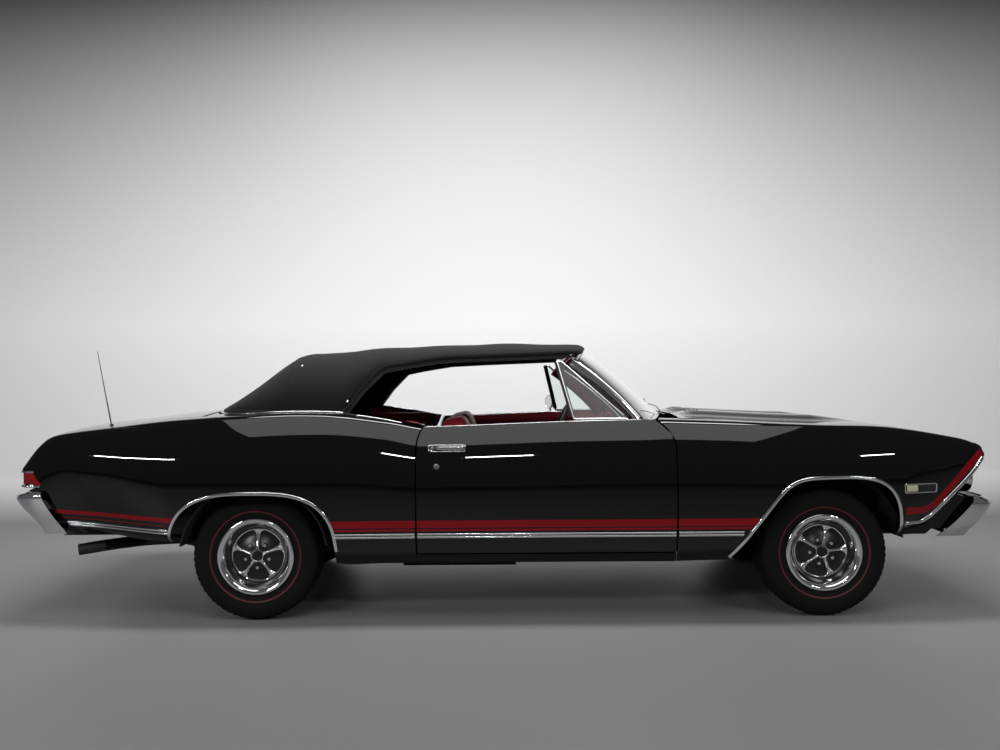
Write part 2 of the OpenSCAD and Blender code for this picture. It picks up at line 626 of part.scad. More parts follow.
module rear_wheelhouses() {
  r = 364;
  color(dark) both() difference() {
    translate([axle_r, well_y, hub_z]) rotate([-90, 0, 0]) cylinder(r = r + 8, h = 300);
    translate([axle_r, well_y + 8, hub_z]) rotate([-90, 0, 0]) cylinder(r = r, h = 400);
    block([axle_r - 500, well_y - 10, -200], [axle_r + 500, well_y + 410, hub_z + 60]);
  }
}
module cowl() {
  color(dark) difference() {
    union() {
      block([floor_f, -across(760), floor_z], [floor_f + 10, across(760), cowl_top_z]);
      both() block([pillar_x, pillar_y[0], sill_z + 40], [pillar_x + 90, pillar_y[1], cowl_top_z]);
      both() block([floor_f, across(690), floor_z + 60], [pillar_x + 90, pillar_y[0] + 5, cowl_top_z]);
      both() block([door_f - 145, across(680), cowl_top_z - 220], [floor_f + 5, across(740), cowl_top_z]);
      block([door_f - 145, -across(740), cowl_top_z - 20], [hood_r + 60, across(740), cowl_top_z]);
    }
    translate([floor_f - 50, 0, floor_z - 40]) rotate([0, 90, 0]) cylinder(r = tunnel_r - 8, h = 200);
  }
}

// Windshield and soft top
header_x = door_f - 428;
base_x = lid_f + 67;
// Columns: share from the rear base to the header, roof below the highest line, edge height
// share between the belt and the roof, half width at the edge, roundness of the section
soft = [
  [0.000, 333, 0.124, 560, 2.6], [0.026, 308, 0.130, 650, 2.8], [0.079, 236, 0.126, 712, 3.0],
  [0.208, 68, 0.12, 733, 3.2], [0.260, 46, 0.12, 737, 3.2], [0.347, 37, 0.13, 738, 3.2],
  [0.393, 27, 0.40, 706, 2.9], [0.449, 18, 0.648, 676, 2.6], [0.510, 14, 0.705, 660, 2.4],
  [0.605, 9, 0.773, 648, 2.3], [0.714, 2, 0.795, 640, 2.3], [0.780, 0, 0.805, 634, 2.3],
  [0.900, 4, 0.823, 620, 2.3], [0.965, 8, 0.832, 612, 2.3], [1.000, 16, 0.836, 608, 2.3]];
soft_t = 8;
header_bow = 45;
function soft_y(s) = across(smooth(soft, s, 3));
function soft_x(s, y) = mix(base_x, header_x, s) + header_bow * ramp(s, 0.8, 1) * (1 - (y / soft_y(1)) ^ 2);
function edge_height(s) = mix(belt_z, roof_z, smooth(soft, s, 2));
function soft_point(s, a) =
  let (y = soft_y(s), e = edge_height(s), h = roof_z - smooth(soft, s, 1),
    n = smooth(soft, s, 4), c = cos(a), py = y * sign(c) * abs(c) ^ (2 / n))
  [soft_x(s, py), py, e + (h - e) * abs(sin(a)) ^ (2 / n)];
soft_s = [for (r = soft) r[0]];
soft_angles = [0, 12, 25, 40, 58, 75, 90, 105, 122, 140, 155, 168, 180];
window_x = [base_x + 75, base_x + 330];
window_y = 430;
module soft_shell(t) {
  rows = [for (s = soft_s) [for (a = soft_angles) soft_point(s, a)]];
  last = len(soft_angles) - 1;
  slab(rows, [for (r = rows) let (q = inset_path(r, t)) [for (j = [0 : last])
    j == 0 ? r[0] - [0, t, 0] : j == last ? r[last] + [0, t, 0] : q[j]]]);
}
module soft_top() {
  color(dark) difference() {
    soft_shell(soft_t);
    block([window_x[0], -window_y, 900], [window_x[1], window_y, 1500]);
  }
}
module rear_window() {
  color([0.6, 0.65, 0.7]) intersection() {
    soft_shell(soft_t);
    block([window_x[0] + 0.5, -window_y + 0.5, 900], [window_x[1] - 0.5, window_y - 0.5, 1500]);
  }
}
rail_t = 24;
module top_rails() {
  ss = [for (r = soft) if (r[0] > 0.34) r[0]];
  edge = [for (s = ss) [soft_x(s, soft_y(s)), edge_height(s)]];
  route = [for (i = [0 : len(ss) - 1])
    let (a = edge[max(i - 1, 0)], b = edge[min(i + 1, len(ss) - 1)], t = unit(b - a),
        q = edge[i] + (rail_t / 2 + 0.5) * [t[1], -t[0]])
    [q[0], soft_y(ss[i]) - 15, q[1]]];
  color(dark) both() swept([for (i = [0 : len(route) - 2]) route[i]], box_section(20, rail_t));
}
glass_t = 6;
post = 30;
function header_point(a) =
  let (y = across(572) * a, q = y / soft_y(1))
  [header_x - 18 + header_bow * (1 - q ^ 2), y,
    mix(edge_height(1), roof_z - 16, (1 - abs(q) ^ 2.3) ^ (1 / 2.3)) - soft_t - post / 2 - 4];
function base_point(a) = [door_f - 83 + 108 * (1 - a ^ 2), across(716) * a, belt_z + 4 + 14 * (1 - a ^ 2)];
function shield(a, b) = mix(base_point(a), header_point(a), b) + [18, 0, 10] * 4 * b * (1 - b);
module shield_glass(t, grow) {
  as = spread(1 + grow / 200, -1 - grow / 200, 12);
  bs = spread(-grow / 100, 1 + grow / 100, 5);
  push = [0.71, 0, 0.71];
  slab([for (a = as) [for (b = bs) shield(a, b) + push * (t / 2 + grow)]],
    [for (a = as) [for (b = bs) shield(a, b) - push * (t / 2 + grow)]]);
}
module windshield_glass() {
  color([0.6, 0.7, 0.7]) shield_glass(glass_t, 0);
}
module windshield_frame() {
  bs = spread(0, 1, 5);
  as = spread(-1, 1, 12);
  color(bright) difference() {
    union() {
      both() swept([for (b = bs) shield(1, b)], box_section(post, post));
      swept([for (a = as) shield(a, 1)], box_section(post, post));
      swept([for (a = as) shield(a, 0)], box_section(post, post));
      both() block([door_f - 105, across(690), cowl_top_z], [door_f - 65, across(728), belt_z]);
    }
    shield_glass(glass_t, 0.4);
  }
}

// Inside
module dashboard() {
  color(dark) rotate([90, 0, 0]) linear_extrude(height = 2 * across(679), center = true)
    polygon([[door_f - 175, belt_z - 205], [door_f - 20, belt_z - 205],
        [door_f - 20, cowl_top_z - 20.5], [door_f - 145.5, cowl_top_z - 20.5],
      [door_f - 145.5, belt_z - 20], [door_f - 200, belt_z - 24], [door_f - 225, belt_z - 60],
          [door_f - 205, belt_z - 130]]);
}
wheel_c = [door_f - 515, 370, belt_z - 120];
module on_column() {
  translate(wheel_c) rotate([0, 90 + column_tilt, 0]) children();
}
module steering_column() {
  color(dark) union() {
    on_column() translate([0, 0, -22]) cylinder(r = 10, h = 80);
    on_column() translate([0, 0, 40]) cylinder(r = 27, h = 480);
    block([door_f - 150, wheel_c[1] - 14, belt_z - 275], [door_f - 110, wheel_c[1] + 14, belt_z - 205]);
  }
}
module steering_wheel() {
  color(dark) on_column() difference() {
    union() {
      rotate_extrude() translate([steering_d / 2 - 12, 0]) circle(r = 12, $fn = 12);
      translate([0, 0, -16]) cylinder(r = 46, h = 46);
      for (a = [90, 180, 270]) rotate([0, 0, a]) translate([30, -20, -6]) cube(
          [steering_d / 2 - 42, 40, 12]);
    }
    translate([0, 0, -30]) cylinder(r = 10 + play, h = 100);
  }
}
seat_y = 412;
module seat(y) {
  color(red) translate([0, y, 0]) rotate([90, 0, 0]) linear_extrude(height = seat_w, center = true)
    polygon([[door_f - 560, floor_z + 8], [door_f - 1010, floor_z + 8],
        [door_f - 1060, belt_z - 420], [door_f - 1170, belt_z + 16],
      [door_f - 1140, belt_z + 24], [door_f - 1030, belt_z + 6], [door_f - 960, belt_z - 410],
          [door_f - 560, belt_z - 390], [door_f - 520, belt_z - 440]]);
}
seat_b = axle_r + 372;  // foot of the rear seat's back
module rear_seat() {
  color(red) rotate([90, 0, 0]) linear_extrude(height = rear_seat_w, center = true)
    polygon([[seat_b, trunk_z], [floor_b - 4, trunk_z], [floor_b - 3, trunk_z + 16],
        [floor_b + 285, trunk_z + 16],
      [floor_b + 300, trunk_z + 45], [floor_b + 270, trunk_z + 72], [seat_b + 180, trunk_z + 56],
          [seat_b + 60, belt_z - 50],
      [seat_b - 50, belt_z - 40], [seat_b - 90, belt_z - 60]]);
}
module side_trims() {
  color(red) both() block([floor_b + 20, 640, floor_z + 8], [door_r - 20, 680, belt_z - 30]);
}

// Running gear
module engine() {
  color(dark) union() {
    block([axle_f - 480, -230, 330], [axle_f + 160, 230, 640]);
    block([axle_f - 440, -310, 560], [axle_f + 120, 310, 740]);
    translate([axle_f - 160, 0, 730]) cylinder(r = 170, h = 110);
    block([axle_f - 1080, -95, 290], [axle_f - 470, 95, 450]);
    both() block([axle_f - 120, 220, front_rail_z - 30],
        [axle_f + 40, rail_y - rail_w / 2, front_rail_z + 30]);
  }
}
module radiator() {
  color(dark) block([core_x - 60, -380, front_rail_z + 90], [core_x + 18, 380, core_top - 62]);
}
stub_r = hub_bore_r;
module rear_axle() {
  color(dark) union() {
    translate([axle_r, 0, hub_z]) rotate([90, 0, 0]) cylinder(r = 40, h = 2 * hub_y - 120,
        center = true);
    translate([axle_r, 0, hub_z]) rotate([90, 0, 0]) cylinder(r = stub_r, h = 2 * hub_y + 60,
        center = true);
    translate([axle_r, 0, hub_z]) sphere(r = 135);
    translate([axle_r, 0, hub_z]) rotate([0, 90, 0]) cylinder(r = 36, h = axle_f - 1082 - axle_r);
    both() swept([[axle_r + 530, 445, 336], [axle_r + 300, 445, 296], [axle_r, 445, 276],
        [axle_r - 300, 445, 300], [axle_r - 700, 445, 390]], box_section(60, 26));
    both() block([axle_r - 720, 420, 380], [axle_r - 680, 484.2, 470]);
    both() block([axle_r + 505, 420, 318], [axle_r + 560, 470, floor_z]);
  }
}
module exhaust() {
  route = [[axle_f - 250, 330, 420], [axle_f - 420, 330, 300], [axle_f - 700, 300, 250],
      [axle_r + 1150, 300, 250]];
  tail = [[axle_r + 760, 300, 252], [axle_r + 520, 300, 252], [axle_r + 330, 340, 300],
      [axle_r + 160, 355, 400],
    [axle_r - 130, 355, 400], [axle_r - 330, 360, 350], [axle_r - 720, 360, 330],
        [axle_r - 810, 490, 336], [axle_r - 850, 620, 345],
    [axle_r - 965, 655, 330]];
  color(dark) both() union() {
    swept(route, round_section(26, 10));
    translate([axle_r + 1000, 300, 250]) rotate([0, 90, 0]) cylinder(r = 80, h = 620, center = true);
    swept(tail, round_section(30, 10));
    block([axle_r + 840, 290, 300], [axle_r + 870, 310, floor_z]);
  }
}
module fuel_tank() {
  color(dark) block([axle_r - 900, -300, 350], [axle_r - 430, 300, rear_rail_z + rail_h / 2]);
}

// Front wheels turn on king pins between two arms
king_y = hub_y - 70;
king_r = 11;
arm_len = 95;
arm_low = 214;
arm_high = 448;
module front_suspension() {
  color(dark) both() difference() {
    union() {
      block([axle_f - 24, rail_y + 35, arm_low - 10], [axle_f + 24, king_y + 24, arm_low + 10]);
      block([axle_f - 24, rail_y + 35, arm_high - 9], [axle_f + 24, king_y + 24, arm_high + 9]);
      block([axle_f - 45, rail_y + 35, arm_low - 10], [axle_f + 45, rail_y + 55, arm_high + 9]);
    }
    translate([axle_f, king_y, 100]) cylinder(r = king_r + play, h = 500);
  }
}
module knuckle() {
  color(dark) union() {
    translate([axle_f, king_y, arm_low - 10]) cylinder(r = king_r, h = arm_high - arm_low + 19);
    translate([axle_f, king_y, arm_low + 16]) cylinder(r = 24, h = arm_high - arm_low - 31);
    translate([axle_f, king_y, hub_z]) rotate([-90, 0, 0]) cylinder(r = stub_r,
        h = hub_y - king_y + 30);
    translate([axle_f, king_y + 8, hub_z]) rotate([-90, 0, 0]) cylinder(r = 88, h = 26);
    block([axle_f - arm_len, king_y - 10, hub_z - 30], [axle_f, king_y + 10, hub_z - 14]);
    translate([axle_f - arm_len, king_y, hub_z - 30]) cylinder(r = 16, h = 16);
  }
}
module steering_linkage() {
  color(dark) union() {
    translate([axle_f - arm_len, 0, hub_z - 50]) rotate([90, 0, 0]) cylinder(r = 11, h = 2 * king_y,
        center = true);
    both() translate([axle_f - arm_len, king_y, hub_z - 58]) cylinder(r = 14, h = 27.5);
  }
}

// Wheels and tyres, made at the origin with the axle along Y and the outside at +Y
rim_r = ring_d / 2;
lip_y = 88;
bead_r = 172;
module wheel_shape() {
  difference() {
    union() {
      rotate([90, 0, 0]) rotate_extrude($fn = 72) polygon([[bead_r - 8, -lip_y],
          [bead_r + 9, -lip_y], [bead_r + 9, -lip_y + 9], [bead_r, -lip_y + 14],
        [bead_r - 26, -30], [bead_r - 26, 30], [bead_r, lip_y - 14], [bead_r + 3, lip_y - 6],
            [rim_r, lip_y - 6], [rim_r - 2, lip_y + 4], [bead_r - 8, lip_y + 4], [bead_r - 12, lip_y - 16],
        [bead_r - 34, 24], [bead_r - 34, -24]]);
      rotate([90, 0, 0]) translate([0, 0, 0]) rotate_extrude($fn = 72) polygon([[0, 62], [42, 62],
          [70, 44], [bead_r - 30, 14], [bead_r - 30, 0], [70, 20], [60, 0], [0, 0]]);
      rotate([90, 0, 0]) cylinder(r = 58, h = 60, center = true);
    }
    rotate([90, 0, 0]) translate([0, 0, -40]) cylinder(r = hub_bore_r + play, h = 85);
  }
  for (k = [0 : spokes - 1]) rotate([0, 90 - 360 * k / spokes, 0]) rotate([90, 0, 0])
    difference() {
      translate([30, 0, 30]) linear_extrude(height = 28, scale = 0.9) polygon([[0, -22],
          [bead_r - 66, -30], [bead_r - 66, 30], [0, 22]]);
      cylinder(r = 28, h = 200);
    }
}
module wheel(x, side, turn) {
  color(bright) translate([x, side * hub_y, hub_z]) rotate([0, turn, 0]) mirror(
      [0, side > 0 ? 1 : 0, 0]) wheel_shape();
}
module tyre(x, side) {
  r = hub_z;
  w = tyre_w / 2;
  color(dark) translate([x, side * hub_y, hub_z]) rotate([90, 0, 0]) rotate_extrude($fn = 60)
    polygon([[bead_r + 12, lip_y - 16], [bead_r + 30, lip_y + 2], [mix(bead_r, r, 0.6), w],
        [r - 28, w - 6], [r - 8, w - 22], [r, w - 42],
      [r, 42 - w], [r - 8, 22 - w], [r - 28, 6 - w], [mix(bead_r, r, 0.6), -w],
          [bead_r + 30, -lip_y - 2], [bead_r + 12, -lip_y + 16],
      [bead_r + 0.3, -lip_y + 14], [bead_r + 0.3, lip_y - 14]]);
}

// Front end
module grille() {
  z = [crease_z + 150, crease_z + 335];
  x = [tip_x - 215, tip_x - 105];
  function at_z(h) = mix(x[0], x[1], (h - z[0]) / (z[1] - z[0]));
  color(dark) difference() {
    union() {
      rotate([90, 0, 0]) linear_extrude(height = 2 * grille_w, center = true)
        polygon([[x[0], z[0]], [x[1], z[1]], [x[1] - 12, z[1] + 3], [x[0] - 12, z[0] + 3]]);
      for (h = [z[0] + 4 : 29 : z[1]]) block([at_z(h) - 10, -grille_w, h - 3],
          [at_z(h) + 16, grille_w, h + 3]);
      both() block([core_x + 22, 440, z[0] + 60], [at_z(z[0] + 60) - 6, 470, z[0] + 75]);
    }
    for (y = lamp_ys, s = [-1, 1]) translate([0, s * y, lamp_z]) rotate(
        [0, 90, 0]) cylinder(r = lamp_r + 0.5, h = 4000);
  }
}
grille_w = wide(tip_x) - 16;
lamp_ys = [520, 690];
lamp_z = crease_z + 245;
lamp_r = 73;
lamp_l = 173;
module headlamps() {
  color([0.8, 0.85, 0.9]) for (y = lamp_ys, s = [-1, 1]) translate(
      [tip_x - 225, s * y, lamp_z]) rotate([0, 90, 0])
    rotate_extrude() polygon([[0, 0], [lamp_r, 0], [lamp_r, lamp_l], [lamp_r - 10, lamp_l + 4],
      [lamp_r - 14, lamp_l - 2], [40, lamp_l + 6], [0, lamp_l + 10]]);
}
module front_valance() {
  n = 10;
  ys = spread(760, -760, n);
  zs = [crease_z - 70, crease_z - 30, crease_z + 20, crease_z + 60];
  function face(y, z) = [tip_x - 130 + 30 * (1 - (y / 760) ^ 2) - 0.6 * (crease_z + 100 - z), y, z];
  rows = [for (y = ys) [for (z = zs) face(y, z)]];
  color(paint) union() {
    slab(rows, [for (r = rows) [for (p = r) p - [6, 0, 0]]]);
    both() block([core_x + 22, 600, front_rail_z + 66], [face(615, front_rail_z + 70)[0] - 3, 630,
        front_rail_z + 74]);
  }
}
module antenna() {
  x = axle_r - 749;
  p = sheet(x, 0.92);
  color(bright) translate([p[0], -p[1], p[2] + 1.8]) union() {
    cylinder(r = 9, h = 14, $fn = 24);
    rotate([0, -10.5, 0]) cylinder(r1 = 4, r2 = 2, h = 390, $fn = 12);
  }
}
module mirror_head() {
  color(bright) translate([door_f - 537, half_w - 98.0, belt_z + 62]) union() {
    rotate([0, 90, 0]) cylinder(r = 48, h = 26);
    translate([13, 0, -40]) rotate([12, 0, 0]) translate([0, 0, -62]) cylinder(r = 9, h = 62);
  }
}

frame();
floor_pan();
cowl();
rockers();
front_wheelhouses();
rear_wheelhouses();
fender();  // fender_left
mirror([0, 1, 0]) fender();  // fender_right
quarter();  // quarter_left
mirror([0, 1, 0]) quarter();  // quarter_right
deck_panel();
tail_panel();
nose_panel();
grille();
headlamps();
front_bumper();
front_valance();
rear_bumper();
tail_lamps();
windshield_frame();
windshield_glass();
soft_top();
top_rails();
rear_window();
dashboard();
steering_column();
seat(seat_y);  // seat_left
seat(-seat_y);  // seat_right
rear_seat();
side_trims();
engine();
radiator();
rear_axle();
exhaust();
fuel_tank();
front_suspension();
antenna();
door_hinges();
hood_hinges();
lid_hinges();
door();  // door_left
mirror([0, 1, 0]) door();  // door_right
vent_window();  // vent_window_left
mirror([0, 1, 0]) vent_window();  // vent_window_right
mirror_head();  // mirror
hood();
trunk_lid();
steering_wheel();
steering_linkage();
knuckle();  // knuckle_left
mirror([0, 1, 0]) knuckle();  // knuckle_right
wheel(axle_f, 1, 14);  // wheel_front_left
wheel(axle_f, -1, 14);  // wheel_front_right
wheel(axle_r, 1, 0);  // wheel_rear_left
wheel(axle_r, -1, 0);  // wheel_rear_right
tyre(axle_f, 1);  // tyre_front_left
tyre(axle_f, -1);  // tyre_front_right
tyre(axle_r, 1);  // tyre_rear_left
tyre(axle_r, -1);  // tyre_rear_right
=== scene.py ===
"""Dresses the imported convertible: dense panels, trim, cloth, vinyl, glass, wheels, light and a camera.

Shapes are numpy arrays in millimetres in the car's frame (+X forward, +Y driver's side, +Z up).
They repeat the section tables of the solids and become metres when a mesh is made."""
import math

import bpy
import numpy as np
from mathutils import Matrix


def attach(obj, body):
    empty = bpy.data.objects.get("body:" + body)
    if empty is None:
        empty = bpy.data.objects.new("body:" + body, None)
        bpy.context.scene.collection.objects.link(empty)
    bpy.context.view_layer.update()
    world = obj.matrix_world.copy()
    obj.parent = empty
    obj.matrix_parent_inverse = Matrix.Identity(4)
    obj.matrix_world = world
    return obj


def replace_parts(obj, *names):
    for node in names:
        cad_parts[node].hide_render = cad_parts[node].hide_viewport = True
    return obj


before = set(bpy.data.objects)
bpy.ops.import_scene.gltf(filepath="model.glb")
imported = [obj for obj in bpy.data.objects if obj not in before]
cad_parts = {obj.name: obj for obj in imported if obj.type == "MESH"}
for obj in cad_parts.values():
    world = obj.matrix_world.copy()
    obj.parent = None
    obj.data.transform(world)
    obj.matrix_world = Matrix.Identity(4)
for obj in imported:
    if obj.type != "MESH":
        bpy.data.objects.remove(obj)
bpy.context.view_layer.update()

# Main sizes, the same as the solids
WHEELBASE, FRONT, REAR = 2845.0, 905.0, 1256.0
HALF_W, ROOF, BELT, SILL, CREASE = 961.5, 1402.0, 985.0, 285.0, 432.0
LENGTH = WHEELBASE + FRONT + REAR
AXLE_F = LENGTH / 2 - FRONT
AXLE_R = AXLE_F - WHEELBASE
HUB_Z, HUB_Y = 320.0, 749.5
TIP, TAIL = AXLE_F + 0.924 * FRONT, AXLE_R - 0.950 * REAR
FRONT_X, BACK_X = LENGTH / 2, -LENGTH / 2
NOSE_RAKE, TAIL_RAKE = 0.82, 0.88
SKIN, GAP = 4.0, 8.0
DOOR_F = AXLE_F - 753
DOOR_R = DOOR_F - 1277
DOOR_Z = 340.0

# Body sections: place, narrower than the half width, lower edge, crease, top edge, lean of the top
BODY = np.array([
    [-0.950, 130, 152, 73, -219, 40], [-0.890, 110, 143, 69, -121, 56], [-0.841, 96, 135, 65, -69, 70],
    [-0.780, 82, 127, 60, -48, 83], [-0.570, 43, 118, 45, -16, 100], [-0.380, 19, 114, 30, 12, 110],
    [-0.190, 5, 112, 16, 30, 115], [0.000, 0, 90, 4, 42, 116], [0.071, 1, 60, 0, 48, 116],
    [0.151, 6, 0, 0, 41, 113], [0.222, 11, 0, 0, 14, 109], [0.284, 15, 0, 0, -21, 106],
    [0.330, 15, 0, 0, -22, 106], [0.540, 13, 0, 0, -3, 108], [0.680, 11, 0, 0, 4, 110],
    [0.736, 11, 0, 0, 8, 110], [0.933, 13, 20, 2, -19, 105], [1.000, 16, 60, 10, -27, 102],
    [1.367, 36, 115, 53, -40, 90], [1.771, 92, 118, 56, -99, 63], [1.865, 112, 118, 56, -126, 52],
    [1.903, 122, 118, 56, -146, 46], [1.924, 130, 118, 56, -178, 40]])


def along(u):
    """Place along the car of a station: behind, between or ahead of the axles."""
    ahead = np.where(u > 1, AXLE_F + (u - 1) * FRONT, AXLE_R + u * WHEELBASE)
    return np.where(u < 0, AXLE_R + u * REAR, ahead)


STATIONS = np.column_stack([along(BODY[:, 0]), HALF_W - BODY[:, 1], SILL + BODY[:, 2], CREASE + BODY[:, 3],
                            BELT + BODY[:, 4], BODY[:, 5]])


def smooth(table, x, col):
    """Cubic Hermite curve through one column of a table; each row's slope joins the rows beside it."""
    t, v = table[:, 0], table[:, col]
    k = np.arange(len(t))
    up, down = np.minimum(k + 1, len(t) - 1), np.maximum(k - 1, 0)
    m = (v[up] - v[down]) / (t[up] - t[down])
    x = np.clip(x, t[0], t[-1])
    i = np.clip(np.searchsorted(t, x, side="right") - 1, 0, len(t) - 2)
    h = t[i + 1] - t[i]
    s = (x - t[i]) / h
    return ((2 * s**3 - 3 * s**2 + 1) * v[i] + (s**3 - 2 * s**2 + s) * h * m[i]
            + (3 * s**2 - 2 * s**3) * v[i + 1] + (s**3 - s**2) * h * m[i + 1])


def curve(points, n):
    """Smooth line through points, spaced by their distance, sampled n times."""
    p = np.asarray(points, float)
    t = np.concatenate([[0], np.cumsum(np.linalg.norm(np.diff(p, axis=0), axis=1))])
    table = np.column_stack([t, p])
    at = np.linspace(0, t[-1], n)
    return np.column_stack([smooth(table, at, k + 1) for k in range(p.shape[1])])


def ramp(x, a, b):
    """Straight rise from 0 at a to 1 at b, flat outside."""
    return np.clip((np.asarray(x, float) - a) / (b - a), 0, 1)


def mix(a, b, t):
    """Point a share t of the way from a to b."""
    return a + (b - a) * t


def stack(*xyz):
    """One array of points from coordinates of any matching shapes."""
    return np.stack(np.broadcast_arrays(*[np.asarray(v, float) for v in xyz]), -1)


def wide(x):
    """Half width of the body at a place, from the sections."""
    return smooth(STATIONS, x, 1)


def low(x):
    """Height of the body's lower edge at a place, from the sections."""
    return smooth(STATIONS, x, 2)


def crease(x):
    """Height of the crease at a place, from the sections."""
    return smooth(STATIONS, x, 3)


def top(x):
    """Height of the top edge at a place, from the sections."""
    return smooth(STATIONS, x, 4)


def lean(x):
    """How far the top edge leans in at a place, from the sections."""
    return smooth(STATIONS, x, 5)


def top_y(x):
    """Half width at the top edge: the half width less the lean."""
    return wide(x) - lean(x)


# Side: share of the height where it is widest, depth of the crease, how far the sill curls under
SHOULDER, CREASE_DEEP, SILL_CURL = 0.33, 16.0, 80.0


def side_y(x, z):
    """Half width: full at the shoulder, leaning in above by a power, curling under below the crease."""
    m = crease(x)
    g = (z - m) / (top(x) - m)
    upper = wide(x) - lean(x) * np.clip((g - SHOULDER) / (1 - SHOULDER), 0, None) ** 2.7
    middle = wide(x) - CREASE_DEEP * np.clip((SHOULDER - g) / SHOULDER, 0, 1) ** 2
    under = wide(x) - CREASE_DEEP - SILL_CURL * np.clip((m - z) / (m - low(x)), 0, None) ** 1.7
    return np.where(g > SHOULDER, upper, np.where(g > 0, middle, under))


# Wheel arches: reach ahead of and behind the front axle, and both ways from the rear one
ARCH_FF, ARCH_FR, ARCH_R, ARCH_SLOPE = 358.0, 479.0, 408.0, 1.34
POWER_F, POWER_R, FLANK_ROUND, NO_ARCH = 4.2, 3, 8, -1000.0
ARCH_BASE = HUB_Z - 24
ARCH_HF, ARCH_HR = HUB_Z + 377 - ARCH_BASE, HUB_Z + 319 - ARCH_BASE


def lean_x(x, z):
    """Rake of the front and rear edges, growing from the wheel arch to the end of the body."""
    x = np.asarray(x, float)
    fore = -ramp(x, AXLE_F + ARCH_FF + 20, TIP) * (top(x) - z) * NOSE_RAKE
    aft = ramp(-x, -(AXLE_R - ARCH_R - 20), -TAIL) * (top(x) - z) * TAIL_RAKE
    return np.where(x > AXLE_F, fore, aft)


def lobe(d, b, h, n):
    """Superellipse height over the arch's base at a distance d from the axle."""
    edge = ARCH_BASE + h * np.clip(1 - (np.abs(d) / b) ** n, 0, None) ** (1 / n)
    return np.where(np.abs(d) >= b, NO_ARCH, edge)


def flank(d):
    """Rear flank of the front arch: a straight line that rounds over into the top."""
    line = ARCH_SLOPE * np.clip(ARCH_FR - d, 0, None)
    edge = ARCH_BASE + ARCH_HF * line / (ARCH_HF**FLANK_ROUND + line**FLANK_ROUND) ** (1 / FLANK_ROUND)
    return np.where(d >= ARCH_FR, NO_ARCH, edge)


def flank_reach(z):
    """Distance behind the axle at which that flank has a height."""
    v = np.clip(z - ARCH_BASE, 1, 0.99 * ARCH_HF)
    return ARCH_FR - v * ARCH_HF / (ARCH_HF**FLANK_ROUND - v**FLANK_ROUND) ** (1 / FLANK_ROUND) / ARCH_SLOPE


def arch_z(x):
    """Height of the arches' edge at a place: the higher of the rear lobe and the front lobe or flank."""
    f, r = x - AXLE_F, x - AXLE_R
    front = np.where(f > 0, lobe(f, ARCH_FF, ARCH_HF, POWER_F), flank(-f))
    return np.maximum(lobe(r, ARCH_R, ARCH_HR, POWER_R), front)


def arch_reach(z, b, h, n):
    """Distance from the axle at which an arch's edge has a height, the lobe turned round."""
    return b * np.clip(1 - np.clip((z - ARCH_BASE) / h, 0, 1) ** n, 0, None) ** (1 / n)


def edge_z(x):
    """Height of the side panels' lower edge: the sill or, where it is higher, a wheel arch."""
    return np.maximum(low(x), arch_z(x))


def arch_places(c, b, n, s, k):
    """Places along an arch, close together where its edge is steep."""
    return c + s * b * np.cos(np.linspace(0, math.pi / 2, k + 1)) ** (2 / n)


def nominal(x, z):
    """Section place whose raked point lies at x, found by repeating the rake backwards."""
    place = np.asarray(x, float)
    for _ in range(30):
        place = 0.5 * place + 0.5 * (x - lean_x(place, z))
    return place


def on_side(x, z, proud=0.0):
    """Point of the body's left side at a place and height, standing proud by a distance."""
    return stack(x, side_y(nominal(x, z), z) + proud, z)


# Upper surface: crowns across it, bows along it, width of the side panels' own tops, the hood's ridges
DECK_CROWN, HOOD_CROWN, STRIP = 30.0, 10.0, 105.0
NOSE_BOW, TAIL_BOW, COWL_BOW = 45.0, 40.0, 62.0
RIDGE, RIDGE_Y, RIDGE_W = 28.0, 265.0, 120.0
HOOD_R, HOOD_F = DOOR_F + 35, TIP - 97
LID_F, LID_R = AXLE_R - 300, TAIL + 45


def sheet(x, f):
    """Upper surface at a place and a share of the top width.

    It is crowned across, bowed at the nose, cowl and tail, and has two long ridges on the hood."""
    x = np.asarray(x, float)
    y = f * top_y(x)
    cowl = np.where(x > 0, COWL_BOW * (1 - ramp(x, HOOD_R, AXLE_F - 100)), 0)
    ends = NOSE_BOW * ramp(x, AXLE_F, TIP) - TAIL_BOW * ramp(-x, -(AXLE_R - 100), -TAIL)
    bow = (ends + cowl) * (1 - f**2)
    rise = ramp(x, HOOD_R + 20, HOOD_R + 120)
    fall = 1 - ramp(x, AXLE_F + 90, AXLE_F + 330)
    ridge = RIDGE * rise * fall * np.exp(-((np.abs(y) - RIDGE_Y) / RIDGE_W) ** 4)
    crown = np.where(x > 0, HOOD_CROWN, DECK_CROWN) * (1 - f**2) * ramp(top(x), BELT - 240, BELT - 100)
    return stack(x + bow, y, top(x) + crown + ridge)


def share(x, less=0.0):
    """Share of the top width at which the fender's or quarter's own top ends."""
    return (top_y(x) - STRIP - less) / top_y(x)


# Doors: height over which the shut lines sweep, and how far at the front and rear
SWEEP_HIGH, SWEEP_F, SWEEP_R = 125.0, 85.0, 45.0


def door_cut(z):
    """Share of a shut line's sweep at a height: the square of a rise that ends at the belt."""
    return np.clip((z - (BELT - SWEEP_HIGH)) / SWEEP_HIGH, 0, 1) ** 2


# Meshes
def quads(n, m, wrap_n=False, wrap_m=False):
    """Quads of an n by m grid of points, joined round where asked."""
    i, j = np.meshgrid(np.arange(n if wrap_n else n - 1), np.arange(m if wrap_m else m - 1), indexing="ij")
    a, b = (i + 1) % n, (j + 1) % m
    return np.stack([i * m + j, a * m + j, a * m + b, i * m + b], -1).reshape(-1, 4)


